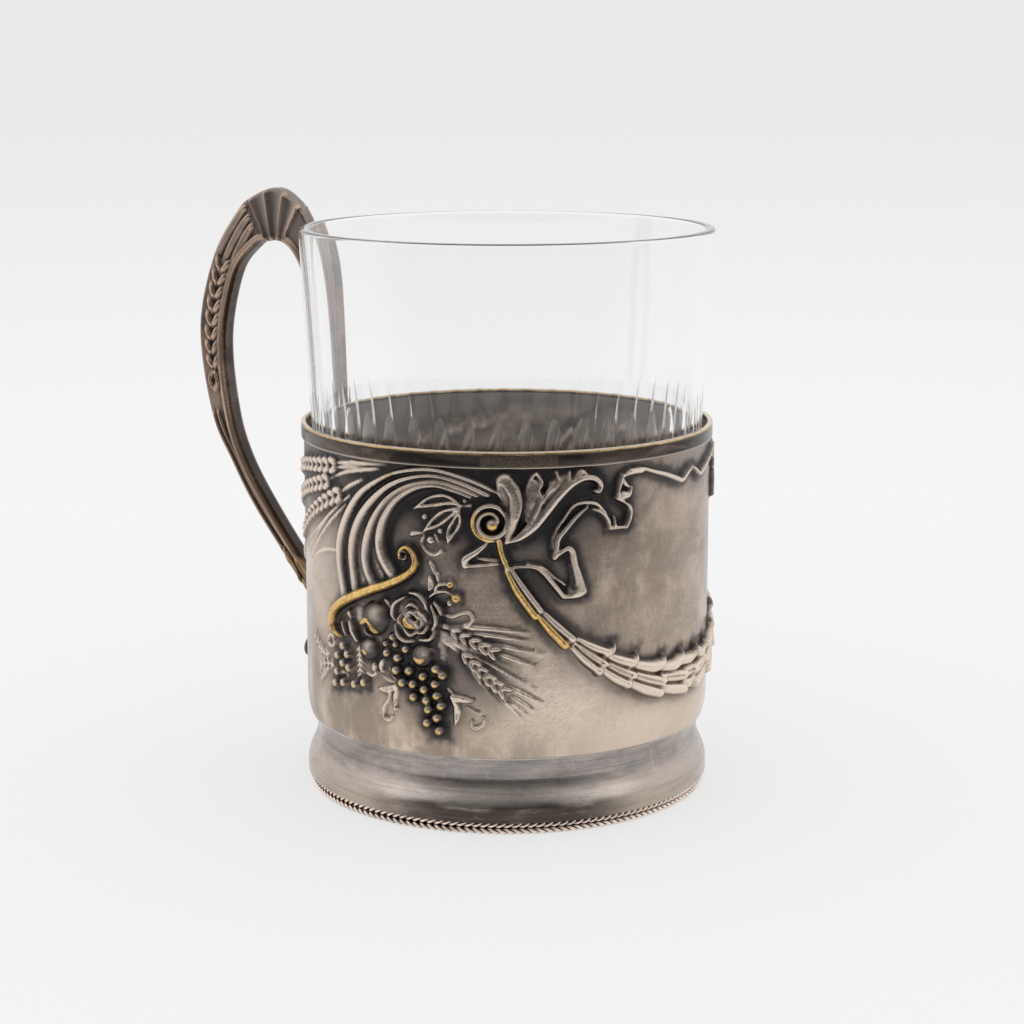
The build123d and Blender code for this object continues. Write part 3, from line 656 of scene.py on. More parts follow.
art.groove([(-15.4, 37.4), (-14.9, 37.0)], [0.9, 0.7], 0.9)
art.groove([(-14.3, 36.9), (-14.2, 36.2)], [0.5, 0.4], 0.6)

# Grapes and small berries, gilded where they stand highest
for u, z, r in ((-20.6, 30.5, 0.95), (-18.5, 29.9, 1.0), (-16.9, 31.6, 0.95), (-19.4, 33.4, 0.8),
                (-18.8, 32.2, 0.75), (-20.7, 32.1, 0.75)):
    art.bead(u, z, r, 1.4)
    art.touch([(u, z - 0.25)], 1.1 * r, gilt=0.9)
for u, z in (
    (-18.7, 27.8), (-16.2, 28.0), (-13.7, 27.3), (-11.5, 28.8), (-10.3, 27.8), (-17.5, 25.8), (-15.5, 25.8),
    (-13.5, 25.1), (-11.6, 26.2), (-15.4, 23.6), (-13.1, 23.3), (-11.3, 24.2), (-12.8, 21.7), (-10.6, 22.5),
    (-11.3, 20.4), (-13.0, 19.4), (-10.9, 18.2),
):
    art.bead(u, z, 1.02, 1.55, on=0.1)
    art.touch([(u - 0.05, z - 0.28)], 1.25, gilt=1.0)
for u, z in (
    (-32.9, 27.8), (-31.4, 26.7), (-33.1, 24.9), (-33.6, 22.8), (-31.3, 23.3), (-28.3, 23.6), (-26.0, 24.3),
    (-31.3, 29.8), (-30.1, 28.5), (-29.8, 26.2),
):
    art.bead(u, z, 0.95, 1.0)
    art.touch([(u, z - 0.2)], 1.1, gilt=0.9)
art.curl(-35.2, 29.9, start_radius=1.0, end_radius=1.0, start=0, turns=1.0, width=0.6, height=0.55)

# Fern, leaves and tendrils below the fruit
art.fern([(-27.1, 30.8), (-27.0, 28.3), (-26.9, 25.2)], leaflets=6, length=1.5, height=0.5)
art.fern([(-28.4, 26.4), (-30.5, 25.0), (-36.0, 25.6), (-40.0, 24.4)], leaflets=8, length=1.5, height=0.45)
art.fern([(-36.0, 27.4), (-38.5, 27.0), (-42.5, 29.4)], leaflets=6, length=1.6, height=0.45)
art.leaf([(-36.0, 24.8), (-38.0, 23.6), (-39.6, 21.6)], 1.1, 0.5)
art.grain(-23.6, 27.5, angle=np.radians(80), length=1.8, width=1.1, height=0.75, gilt=0.2)
art.bar([(-25.5, 26.1), (-24.2, 25.8), (-23.0, 26.6)], [0.4, 0.6, 0.5], 0.5)
art.leaf([(-21.6, 29.2), (-22.1, 27.9), (-21.5, 26.7)], 1.2, 0.75)
art.bar([(-22.5, 26.7), (-20.9, 25.6), (-18.9, 25.4)], [0.3, 0.45, 0.4], 0.45)
art.bar([(-20.5, 27.9), (-19.8, 26.5), (-18.6, 25.6)], [0.3, 0.45, 0.4], 0.45)
art.leaf([(-18.7, 25.1), (-20.6, 24.0), (-23.0, 23.8)], 1.25, 0.6)
art.leaf([(-18.8, 25.0), (-19.3, 23.0), (-19.3, 20.8)], 0.95, 0.6)
art.bead(-19.3, 20.9, 0.55, 0.6)
art.bar([(-20.3, 24.2), (-20.7, 22.2), (-21.7, 20.6), (-21.5, 18.9), (-20.5, 18.6), (-19.9, 19.6)],
        [0.4, 0.5, 0.7, 0.7, 0.6, 0.4], 0.55)
art.bar([(-9.6, 25.3), (-9.0, 24.8), (-8.4, 24.1)], [0.5, 0.5, 0.3], 0.45)
art.leaf([(-9.2, 24.2), (-7.6, 23.7), (-5.0, 23.4)], 1.2, 0.6, vein=0.2)
art.leaf([(-9.2, 24.0), (-8.1, 22.4), (-8.0, 20.6), (-8.4, 19.0)], 1.3, 0.6, vein=0.2)
art.bar([(-6.3, 22.3), (-5.4, 21.8), (-4.2, 21.4)], [0.35, 0.4, 0.25], 0.4)
art.bar([(-3.5, 20.6), (-3.6, 19.4), (-4.6, 18.7), (-5.6, 19.1), (-5.4, 19.9)], [0.4, 0.6, 0.6, 0.5, 0.4],
        0.5)

# Buds, leaflets and a tendril beside the rose
art.bar([(-12.8, 40.8), (-11.5, 41.7), (-9.8, 42.0)], [0.45, 0.6, 0.5], 0.65)
art.bar([(-9.9, 42.0), (-8.8, 41.5), (-8.2, 40.8)], [0.5, 0.5, 0.6], 0.65)
art.bar([(-11.7, 42.1), (-11.1, 43.0), (-9.5, 43.3)], [0.5, 0.6, 0.5], 0.65)
art.bead(-9.1, 43.2, 0.7, 0.85, gilt=0.75)
art.bead(-8.1, 40.9, 0.85, 1.0, gilt=1.0)
art.bead(-9.2, 40.0, 0.6, 0.7)
art.bar([(-12.6, 46.8), (-12.1, 46.0), (-11.7, 45.0)], [0.6, 0.9, 0.5], 0.6)
art.bar([(-11.3, 44.8), (-11.1, 43.7)], [0.9, 0.5], 0.6)
art.leaf([(-12.8, 41.8), (-12.4, 43.2), (-12.8, 44.6)], 1.2, 0.6)
art.bar([(-10.2, 38.0), (-8.7, 37.7), (-7.3, 38.3), (-6.0, 38.5), (-5.3, 37.6), (-5.8, 36.7), (-6.7, 36.5)],
        [0.4, 0.6, 0.6, 0.65, 0.65, 0.55, 0.4], 0.5)

# Wheat in front of the horn: two ears whose awns spread to the right
art.ear([(-9.0, 35.5), (-6.4, 34.2), (-3.7, 32.9), (-1.0, 31.5)], 5, length=2.3, width=1.05, height=0.85,
        spread=0.46, gap=0.5, gilt=0.3, grow=(0.85, 1.1))
art.ear([(-6.9, 31.5), (-5.0, 29.7), (-2.6, 27.4), (0.5, 24.7)], 6, length=2.4, width=1.1, height=0.85,
        spread=0.46, gap=0.52, gilt=0.3, grow=(0.85, 1.1))
for line in (
    [(-11.0, 36.3), (-9.4, 35.8), (-8.2, 35.3)],
    [(-11.2, 35.4), (-9.2, 34.4), (-7, 33.0), (-4.5, 31.9), (-1.5, 30.5), (4.2, 28.4)],
    [(-11.2, 34.8), (-8.9, 33.5), (-5.5, 31.6), (-2.5, 29.9), (2.4, 27.1), (7.6, 24.0)],
    [(-11.0, 34.2), (-8.5, 32.4), (-6.8, 31.4)], [(-9, 36.1), (-4, 36.0), (1.5, 35.5), (5.5, 34.9)],
    [(-6.0, 35.2), (-1, 34.6), (5.6, 33.6)], [(-2.4, 33.3), (-0.5, 33.0), (2.4, 32.3), (7.9, 31.2)],
    [(-0.9, 31.7), (1.5, 30.7), (6.2, 29.1)], [(1.0, 25.8), (3.4, 24.5), (7.8, 22.3)],
    [(1.3, 24.3), (3.4, 22.7), (5.5, 21.3)], [(0.7, 23.8), (2.5, 22.1), (4.4, 20.4)],
    [(-0.9, 24.7), (1.5, 21.9), (3.6, 19.6)], [(-6.5, 29.9), (-4.5, 27.3), (-2.5, 24.9), (0.3, 22.0)],
):
    art.bar(line, [0.5, 0.85, 0.8, 0.55, 0.2], [0.30, 0.45, 0.4, 0.22, 0.03])


def both_halves(field):
    """The field all round the sleeve: the painted half, then its mirror image."""
    return np.hstack([field, field[:, -2:0:-1]])


cell_sizes = (16, 8, 4)
coarse_cell, fine_cell = cell_sizes[0], cell_sizes[-1]


def quilt(fields, limits):
    """Triangles over the whole turn, finer where a field departs from flat. Corners are numbered by rows."""
    rows, wide = fields[0].shape[0] - 1, fields[0].shape[1]
    need = {}
    for size in reversed(cell_sizes):
        finer = np.zeros((rows // size, wide // size), bool)
        for field, limit in zip(fields, limits):
            closed = np.hstack([field, field[:, :1]])
            corner = closed[::size, ::size]
            step = max(1, size // 8)
            for i in range(0, size + 1, step):
                left = corner[:-1, :-1] * (1 - i / size) + corner[1:, :-1] * i / size
                right = corner[:-1, 1:] * (1 - i / size) + corner[1:, 1:] * i / size
                for j in range(0, size + 1, step):
                    part = closed[i:i + rows - size + 1:size, j:j + wide - size + 1:size]
                    finer |= np.abs(part - left * (1 - j / size) - right * j / size) > limit
        edge = coarse_cell // size
        finer[:edge] = False
        finer[-edge:] = False
        if size > fine_cell:
            child = need[size // 2]
            finer |= child[::2, ::2] | child[1::2, ::2] | child[::2, 1::2] | child[1::2, 1::2]
        need[size] = finer
    cells = {}
    opened = np.ones((rows // coarse_cell, wide // coarse_cell), bool)
    for size in cell_sizes:
        cells[size] = np.argwhere(opened & ~need[size]) * size
        opened = (opened & need[size]).repeat(2, 0).repeat(2, 1)
    cells[fine_cell // 2] = np.argwhere(opened) * (fine_cell // 2)
    used = np.zeros((rows + 1, wide), bool)
    for size, spots in cells.items():
        for i, j in ((0, 0), (0, size), (size, size), (size, 0)):
            used[spots[:, 0] + i, (spots[:, 1] + j) % wide] = True
    faces = []
    for size, spots in cells.items():
        sides = [(0, k) for k in range(size)] + [(k, size) for k in range(size)]
        sides += [(size, size - k) for k in range(size)] + [(size - k, 0) for k in range(size)]
        row = spots[:, :1] + np.array([i for i, _ in sides])
        column = (spots[:, 1:] + np.array([j for _, j in sides])) % wide
        number = row * wide + column
        present = used[row, column]
        whole = present.sum(axis=1) == 4
        a, b, c, d = (number[whole][:, k * size] for k in range(4))
        tall = fields[0].ravel()
        flip = (np.abs(tall[a] - tall[c]) > np.abs(tall[b] - tall[d]))[:, None]
        faces.append(np.where(flip, np.c_[a, b, d], np.c_[a, b, c]))
        faces.append(np.where(flip, np.c_[b, c, d], np.c_[a, c, d]))
        number, present = number[~whole], present[~whole]
        centre = (spots[~whole, 0] + size // 2) * wide + (spots[~whole, 1] + size // 2) % wide
        last = number[:, 0].copy()
        for k in list(range(1, 4 * size)) + [0]:
            here = present[:, k]
            faces.append(np.c_[centre[here], last[here], number[here, k]])
            last[here] = number[here, k]
    return np.vstack(faces)


def piece(name, corners, faces, material, body, node, values=None, creased=None, normals=None):
    """A closed, smooth piece in place of a CAD node. Corners are in millimetres. Edges between two creased
    corners stay sharp. normals are for every corner of every face, and a zero leaves it to the mesh."""
    mesh = bpy.data.meshes.new(name)
    mesh.vertices.add(len(corners))
    mesh.vertices.foreach_set("co", (np.asarray(corners, float) / 1000).ravel())
    faces = [np.asarray(f) for f in faces]
    sizes = np.concatenate([np.full(len(f), f.shape[1]) for f in faces])
    mesh.loops.add(int(sizes.sum()))
    mesh.loops.foreach_set("vertex_index", np.concatenate([f.ravel() for f in faces]))
    mesh.polygons.add(len(sizes))
    mesh.polygons.foreach_set("loop_start", np.concatenate([[0], np.cumsum(sizes)[:-1]]))
    mesh.polygons.foreach_set("use_smooth", np.ones(len(sizes), bool))
    mesh.update(calc_edges=True)
    mesh.validate()
    for key, value in (values or {}).items():
        mesh.attributes.new(key, "FLOAT", "POINT").data.foreach_set("value", np.asarray(value, float))
    if creased is not None:
        ends = np.zeros(2 * len(mesh.edges), int)
        mesh.edges.foreach_get("vertices", ends)
        sharp = creased[ends[0::2]] & creased[ends[1::2]]
        mesh.attributes.new("sharp_edge", "BOOLEAN", "EDGE").data.foreach_set("value", sharp)
    if normals is not None:
        mesh.normals_split_custom_set(normals)
    mesh.materials.append(material)
    made = bpy.data.objects.new(name, mesh)
    bpy.context.collection.objects.link(made)
    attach(made, body)
    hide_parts(node)


def rising(value, start, over):
    """A share that is 0 up to the start and 1 from this far past it."""
    return np.clip((value - start) / over, 0, 1)


def falling(value, end, over):
    """A share that is 0 from the end on and 1 up to this far before it."""
    return np.clip((end - value) / over, 0, 1)


def soft_spot(u, z, wide, high):
    return np.exp(-(((art.across - u) / wide) ** 2) - ((up - z) / high) ** 2)


def full_spot(u, z, radius):
    """A spot with a wide, even middle."""
    return np.exp(-((((art.across - u) / radius) ** 2 + ((up - z) / radius) ** 2) ** 2))


def stroke_along(points, width, power):
    """A stroke along a curve, 1 along its middle."""
    field = np.zeros_like(art.height)
    window, stroke = art.swept(points, width, 1.0, power)
    field[window] = stroke
    return field


def highest_near(field, steps):
    """The highest value of a field within these steps of each spot."""
    for axis in (0, 1):
        field = np.max([np.roll(field, step, axis) for step in steps], axis=0)
    return field


close_reach, close_patina = 0.8, 1.7
wide_reach, wide_patina = 2.4, 1.1
hollow_patina, flank_shade_strength, contact_shadow_strength, patina_limit = 0.95, 0.90, 0.86, 0.96
dusk_line = [(-29, 33), (-23, 35), (-16, 37), (-14, 30), (-13, 24), (-11.5, 19)]
dusk_width = [6, 9, 11, 10, 8, 6]
rubbed_line = [(11, 33), (15, 31), (20, 27.7), (26, 25.3), (33, 24.2), (41, 24.2)]
rubbed_width = [2.5, 4.5, 6, 7, 7.4, 7.4]
fruit_shade_and_highlight = ((-22.9, 36.2, 2.95), (-24.4, 30.6, 2.05), (-13.9, 30.8, 2.15))
lighter_spots = ((9, 23, 9, 7, 0.68), (26, 17, 13, 4, 0.4), (-42, 42, 8, 9, 0.3))
front_limits = (0.072, 0.40, 0.6, 0.6)
far_focus = 0.6
pressed_share, pressed_limit = 0.6, 0.18

up = art.up[:, None]
raised = art.soften(art.height, 0.11)
forms = np.clip(raised / 0.7, 0, 1) ** 1.5
low_ground = 1 - rising(raised, 0.10, 0.35)
shade = close_patina * art.soften(forms, close_reach) + wide_patina * art.soften(forms, wide_reach)
hollow = rising(art.soften(raised, 0.45) - raised, 0, 0.22)
crest = rising(raised - art.soften(raised, 0.6), 0.05, 0.19)
level = (up - sleeve_low) / (sleeve_high - sleeve_low)
old_tarnish = 0.55 * rising(level, 0.6, 0.35) * (1 - 0.6 * rising(art.across, 16, 8))
old_tarnish = old_tarnish + 0.42 * soft_spot(-2, 56, 17, 7.5) + 0.3 * soft_spot(-4, 30, 6, 5)
steep = rising(np.hypot(*np.gradient(raised, art.rise, art.pitch)), 0.25, 0.75)
tall = highest_near(raised, range(-6, 7))
taller = highest_near(tall, range(-6, 7, 2))
rose = full_spot(-15.4, 36.9, 4.4)
top = rising(raised / np.maximum(tall, 0.2), 0.52, 0.30) * rising(raised, 0.12, 0.15)
top = top * (1 - rising(tall, 0.62, 0.3) * (1 - 0.6 * rose))
# Painted contact shadow: a dark ring on the low ground round every tall form.
contact_shadow = falling(raised / np.maximum(taller, 0.3), 0.62, 0.3) * rising(taller, 0.55, 0.35)
# Painted shade on the steep sides of the raised forms, below their worn tops.
shaded_flank = rising(raised, 0.12, 0.2) * steep * (1 - top)
# Painted shade: slopes that face down and to the left are darkened in the fruit cluster.
lower_left_shade = 0.8 * np.gradient(raised, art.pitch, axis=1) + 0.5 * np.gradient(raised, art.rise, axis=0)
dusk = stroke_along(dusk_line, dusk_width, 0.6)
dusk_patina_and_shade = (0.5 + 0.4 * np.clip(lower_left_shade, 0, 1)) * art.soften(dusk, 0.8)
patina_and_shade = np.clip(low_ground * (shade + old_tarnish), 0, patina_limit)
patina_and_shade = np.maximum(patina_and_shade, np.maximum(hollow_patina * hollow, flank_shade_strength * shaded_flank))
patina_and_shade = np.maximum(patina_and_shade, contact_shadow_strength * art.soften(contact_shadow, 0.25) * (1 - top))
patina_and_shade = np.maximum(patina_and_shade, dusk_patina_and_shade * (1 - 0.85 * crest) * (1 - 0.6 * rose))
rubbed = stroke_along(rubbed_line, rubbed_width, 0.3) * rising(raised, 0.25, 0.3)
rubbed = rubbed * (1 - 0.7 * hollow) * (1 - 0.3 * steep)
patina_and_shade = patina_and_shade * (1 - 0.95 * rubbed)
wear_and_highlight = (0.6 * top + 1.15 * crest * (1 - 0.85 * steep)) * (1 - hollow) * (1 - 0.3 * dusk * (1 - rose))
# The three large fruit are painted dark as shade, with a painted highlight up and to the right on each.
for fruit_u, fruit_z, fruit_radius in fruit_shade_and_highlight:
    right, above = (art.across - fruit_u) / fruit_radius, (up - fruit_z) / fruit_radius
    fruit = np.clip(4 * (1.0 - right**2 - above**2), 0, 1)
    shine = np.exp(-(((right - 0.25) / 0.34) ** 2) - ((above - 0.3) / 0.3) ** 2)
    patina_and_shade = np.maximum(patina_and_shade, fruit * (0.84 - 0.6 * shine))
    wear_and_highlight = wear_and_highlight * (1 - fruit) + 0.75 * shine * fruit
# A few spots of low ground are made lighter, with less patina.
for spot_u, spot_z, spot_wide, spot_high, share in lighter_spots:
    lightening = soft_spot(spot_u, spot_z, spot_wide, spot_high) * low_ground
    wear_and_highlight = np.maximum(wear_and_highlight, share * lightening)
    patina_and_shade = patina_and_shade * (1 - 0.6 * lightening)
wear_and_highlight = np.clip(wear_and_highlight + 0.9 * rubbed, 0, 1)
gild = art.soften(art.gilt, 0.12) * (1 - hollow)
tarnish = 0.68 * falling(up, 33.0, 9.0) * falling(art.across, 2.0, 12.0)
tarnish = np.maximum(tarnish, 0.6 * (falling(up, 19.5, 4.0) * falling(art.across, 18.0, 14.0)))
tarnish = np.maximum(tarnish, 0.66 * full_spot(23.0, 44.0, 13.0))

half_fields = (raised, art.soften(patina_and_shade, 0.05), art.soften(wear_and_highlight, 0.06), gild)
front_fields = [both_halves(field) for field in half_fields]
focus = np.repeat([1.0, far_focus], [len(art.across), len(art.across) - 2])
outer_faces = quilt([field * focus for field in front_fields], front_limits)
pressed = pressed_share * both_halves(art.soften(art.height, 0.3))
inner_faces = quilt([pressed], (pressed_limit,))
around = pressed.shape[1]
heights = np.repeat(art.up, around)
turn = np.tile((art.across[0] - middle) / sleeve_radius + np.arange(around) * 2 * np.pi / around, len(art.up))
tuck = tuck_depth * np.clip(1 - (heights - sleeve_low) / tuck_height, 0, 1) ** 2
outer_radius = sleeve_radius - tuck + front_fields[0].ravel()
inner_radius = sleeve_radius - tuck - sleeve_wall + pressed.ravel()
outer_used, outer_faces = np.unique(outer_faces, return_inverse=True)
inner_used, inner_faces = np.unique(inner_faces, return_inverse=True)
outer_faces = outer_faces.reshape(-1, 3)
inner_faces = inner_faces.reshape(-1, 3) + len(outer_used)


def on_turn(radius, used):
    return np.c_[radius[used] * np.cos(turn[used]), radius[used] * np.sin(turn[used]), heights[used]]


rims = []
for row, upper in ((0, False), (len(art.up) - 1, True)):
    numbers = row * around + np.arange(0, around, coarse_cell)
    outer_rim = np.searchsorted(outer_used, numbers)
    inner_rim = np.searchsorted(inner_used, numbers) + len(outer_used)
    ring = np.c_[outer_rim, np.roll(outer_rim, -1), np.roll(inner_rim, -1), inner_rim]
    rims.append(ring if upper else ring[:, ::-1])
sleeve_corners = np.vstack([on_turn(outer_radius, outer_used), on_turn(inner_radius, inner_used)])
sleeve_creased = np.zeros(len(sleeve_corners), bool)
sleeve_creased[np.concatenate(rims).ravel()] = True
sleeve_fields = front_fields[1:] + [both_halves(tarnish)]
patina_and_shade, wear_and_highlight, gild, tarnish = (field.ravel()[outer_used] for field in sleeve_fields)
inside = np.ones(len(inner_used))
pressed_in = np.clip(pressed.ravel()[inner_used], 0, 1)
sleeve_values = {
    "patina_and_shade": np.r_[patina_and_shade, 0.30 * inside * (1 - np.clip(4 * pressed_in, 0, 1))],
    "wear_and_highlight": np.r_[wear_and_highlight, 0.2 + np.clip(2.6 * pressed_in, 0, 0.75)],
    "gild": np.r_[gild, 0 * inside],
    "tarnish": np.r_[tarnish, 0 * inside],
    "dull": np.r_[0.22 * patina_and_shade, 0.34 * inside],
}


def sleeve_stains_and_painted_light(look, place, speck, colour, roughness):
    """A painted warm reflection at the base, brown tarnish, black patina with painted shade, bright wear with
    painted highlights and rubbed gold, as the fields say.
    """
    # Painted warm reflection on the lower part of the sleeve.
    colour = look.stain(colour, look.height(place), 0.0280, 0.0170, 0.55, (0.84, 0.68, 0.52))
    streak = look.noise(look.stretched(place, (150.0, 150.0, 75.0)), 1.0, 5.0, 0.65, 0.3)
    streak = look.math("MULTIPLY", look.ramp(streak, 0.30, 0.58), look.value_of("tarnish"))
    colour = look.cover(colour, streak, (0.20, 0.16, 0.133))
    colour = look.cover(colour, look.value_of("patina_and_shade"), (0.022, 0.023, 0.027))
    colour = look.cover(colour, look.value_of("wear_and_highlight"), (0.80, 0.675, 0.565))
    gold = look.mix(look.ramp(speck, 0.4, 0.65), tone(0.90, 0.61, 0.23), tone(0.60, 0.37, 0.13))
    rubbed_gold = look.math("MULTIPLY", look.math("SUBTRACT", speck, 0.5), 0.8)
    rubbed_gold = look.math("ADD", look.value_of("gild"), rubbed_gold)
    colour = look.mix(look.ramp(rubbed_gold, 0.30, 0.62), colour, gold)
    polished = look.math("MULTIPLY", look.value_of("wear_and_highlight"), 0.06)
    return colour, look.math("SUBTRACT", look.math("ADD", roughness, look.value_of("dull")), polished)


sleeve_light, sleeve_dark = tone(0.58, 0.455, 0.36), tone(0.33, 0.26, 0.21)
sleeve_metal = worn_silver(Look("sleeve_metal"), sleeve_light, sleeve_dark, stained=0.2, gloss=0.21,
                           brushed=0.08, hatched=0.24, own_marks_and_painted_light=sleeve_stains_and_painted_light)
piece("sleeve_relief", sleeve_corners, [outer_faces, inner_faces[:, ::-1]] + rims, sleeve_metal, "holder",
      "sleeve", sleeve_values, sleeve_creased)

# Rim band: a plain strip of plated sheet, soldered round the top of the sleeve.
# It has darkened to a deep brown, with blotches where the plate is worn through.

rim_bore, rim_radius = 35.5, 36.47
band_low, band_high, ring_high = 62.8, 64.9, 65.65
rim_rounding = 0.3
rim_crease = 0.04
band_inner = sleeve_radius + 0.02
patch_way = (0.5476, -0.8367, 0.0)


def turned_ring(profile, around=480):
    """Corners and faces of a ring with this section, listed as (radius, height) against the clock."""
    profile = np.array(profile)
    angle = np.arange(around) * 2 * np.pi / around
    out = np.stack([np.cos(angle), np.sin(angle)], axis=-1)
    corners = np.empty((len(profile), around, 3))
    corners[..., :2] = profile[:, None, :1] * out
    corners[..., 2] = profile[:, 1:]
    number = np.arange(len(profile) * around).reshape(len(profile), around)
    further = np.roll(number, -1, axis=0)
    walls = np.stack([number, np.roll(number, -1, axis=1), np.roll(further, -1, axis=1), further], axis=-1)
    return corners.reshape(-1, 3), walls.reshape(-1, 4)


def rounded(radius, height, start):
    """A quarter turn of the rim's rounding about this point, from an angle in degrees."""
    turn = np.radians(np.linspace(start, start + 90, 9))
    return list(zip(radius + rim_rounding * np.cos(turn), height + rim_rounding * np.sin(turn)))


look = Look("band_metal")
place = look.place()
cloud = look.noise(look.stretched(place, (70.0, 70.0, 260.0)), 1.0, 5.0, 0.65, 0.6)
speck = look.noise(place, 1500.0, 3.0, 0.6)
blotch = look.ramp(look.noise(place, 3200.0, 5.0, 0.7), 0.36, 0.66)
patch = look.ramp(look.vector("DOT_PRODUCT", place, patch_way), 0.03588, 0.03594)
colour = look.mix(look.ramp(cloud, 0.38, 0.66), tone(0.040, 0.033, 0.029), tone(0.15, 0.118, 0.096))
colour = look.cover(colour, look.math("MULTIPLY", blotch, patch), (0.29, 0.228, 0.182))
# A painted highlight along the rounded lower edge of the band.
colour = look.stain(colour, look.height(place), 0.06340, 0.06300, 0.8, (0.50, 0.42, 0.35))
colour = look.stain(colour, speck, 0.6, 0.75, 0.4, (0.03, 0.028, 0.026))
band_metal = look.metal(colour, look.ramp(cloud, 0.3, 0.7, 0.20, 0.27), speck, 0.00001)
band_section = [
    (band_inner, band_low), (band_inner + rim_crease, band_low),
    *rounded(rim_radius - rim_rounding, band_low + rim_rounding, -90),
    (rim_radius, band_high - rim_crease), (rim_radius, band_high), (rim_radius - rim_crease, band_high),
    (band_inner, band_high), (band_inner, band_low + rim_crease),
]
band_corners, band_walls = turned_ring(band_section)
piece("rim_band_strip", band_corners, [band_walls], band_metal, "holder", "rim_band")

# Rim ring: the wire that closes the top edges of sleeve and band, polished by the lips and by wiping.
# Below its bright edge it keeps a worn line of gold, and under that it is as brown as the band.

look = Look("ring_metal")
place = look.place()
cloud = look.noise(place, 220.0, 4.0, 0.6)
speck = look.noise(place, 1600.0, 3.0, 0.6)
worn = look.math("MULTIPLY", look.math("SUBTRACT", cloud, 0.5), 0.0006)
level = look.math("ADD", look.height(place), worn)
colour = look.mix(look.ramp(level, 0.06522, 0.06534), tone(0.055, 0.045, 0.039), tone(0.60, 0.41, 0.19))
colour = look.stain(colour, level, 0.06546, 0.06560, 1.0, (0.62, 0.52, 0.42))
colour = look.stain(colour, speck, 0.56, 0.72, 0.6, (0.14, 0.115, 0.095))
ring_metal = look.metal(colour, look.ramp(cloud, 0.3, 0.7, 0.22, 0.32), speck, 0.00002)
ring_section = [
    (rim_bore, band_high), (rim_bore + rim_crease, band_high),
    (rim_radius - rim_crease, band_high), (rim_radius, band_high),
    *rounded(rim_radius - rim_rounding, ring_high - rim_rounding, 0),
    *rounded(rim_bore + rim_rounding, ring_high - rim_rounding, 90),
    (rim_bore, band_high + rim_crease),
]
ring_corners, ring_walls = turned_ring(ring_section)
piece("rim_ring_wire", ring_corners, [ring_walls], ring_metal, "holder", "rim_ring")

# Handle: a flat loop cast in brass and plated, soldered to the rim and the sleeve, and worn to copper brown.
# Both sides carry a fan at the top, ribs, a wheat ear tied in a ring, and a bead along the inner edge.

leg_reach = 37.169
handle_half = 2.0
handle_sunk = 0.35
handle_rounding = 0.7
handle_outer = [
    (-1.25, -20.4), (-1.25, -17.0), (-1.25, -12.0), (-1.25, -6.0), (-1.2, -1.6), (-0.3, -0.5), (0.0, 1.0),
    (0.0, 4.0), (0.5, 18.4), (1.7, 26.4), (4.8, 33.8), (8.0, 37.3), (11.7, 38.95), (16.3, 37.4), (20.0, 34.6),
    (25.9, 25.6), (29.4, 11.9), (27.1, -4.0), (22.5, -13.2), (17.1, -22.0), (8.4, -33.2), (2.0, -41.5),
    (-1.3, -45.6),
]
handle_inner = [
    (-1.2, -20.4), (0.2, -16.8), (1.7, -12.0), (2.65, -6.0), (2.85, -1.6), (2.95, -0.5), (3.0, 1.0),
    (3.1, 4.4), (3.9, 16.0), (5.2, 22.5), (7.3, 26.8), (9.5, 28.7), (11.7, 29.25), (13.6, 29.0), (16.1, 28.0),
    (20.6, 22.7), (23.55, 10.5), (22.4, -2.8), (19.6, -11.5), (14.3, -20.1), (5.8, -31.4), (-0.8, -39.4),
    (-1.3, -40.1),
]
handle_ear = [
    (23.0, 25.6), (24.5, 21.4), (25.35, 18.2), (25.95, 14.9), (26.3, 12.0), (26.4, 9.2), (26.2, 6.6),
    (25.95, 4.4),
]
handle_leaves = (
    [(6.6, -35.0), (8.4, -32.2), (10.6, -28.6)], [(4.4, -35.2), (6.4, -32.0), (8.3, -29.6)],
    [(7.8, -36.0), (10.0, -32.4), (12.2, -30.2)], [(2.4, -39.4), (4.2, -36.6), (6.4, -34.2)],
)
handle_tail = [(-0.6, -40.6), (0.6, -43.0), (1.7, -45.0), (3.3, -46.8), (4.9, -47.5), (6.0, -47.6),
               (7.0, -47.55)]
fan_centre = (11.69, 25.28)
fan_edges = np.radians([-28.9, -11.3, 7.3, 25.5])
stations = np.linspace(0, 1, 620)


def along_line(points):
    """The line through the points, at the same stations as every other line of the handle."""
    spots, share = smooth_path(points, 0.05)
    return np.c_[np.interp(stations, share, spots[:, 0]), np.interp(stations, share, spots[:, 1])]


outer_edge, inner_edge = along_line(handle_outer), along_line(handle_inner)
breadth = np.hypot(*(inner_edge - outer_edge).T)
cast = Relief(-4.0, 31.0, -49.0, 40.0, 350, 890)


def beside(distance, first, last, from_inner=False):
    """A line at a distance from one edge of the handle, between two stations."""
    keep = (stations >= first) & (stations <= last)
    share = np.clip(distance / np.maximum(breadth, 0.1), 0, 1)[:, None]
    if from_inner:
        share = 1 - share
    return (outer_edge + share * (inner_edge - outer_edge))[keep][::6]


def share_near(reach, height):
    """The station of the outer edge nearest to a point."""
    return stations[np.argmin(np.hypot(outer_edge[:, 0] - reach, outer_edge[:, 1] - height))]


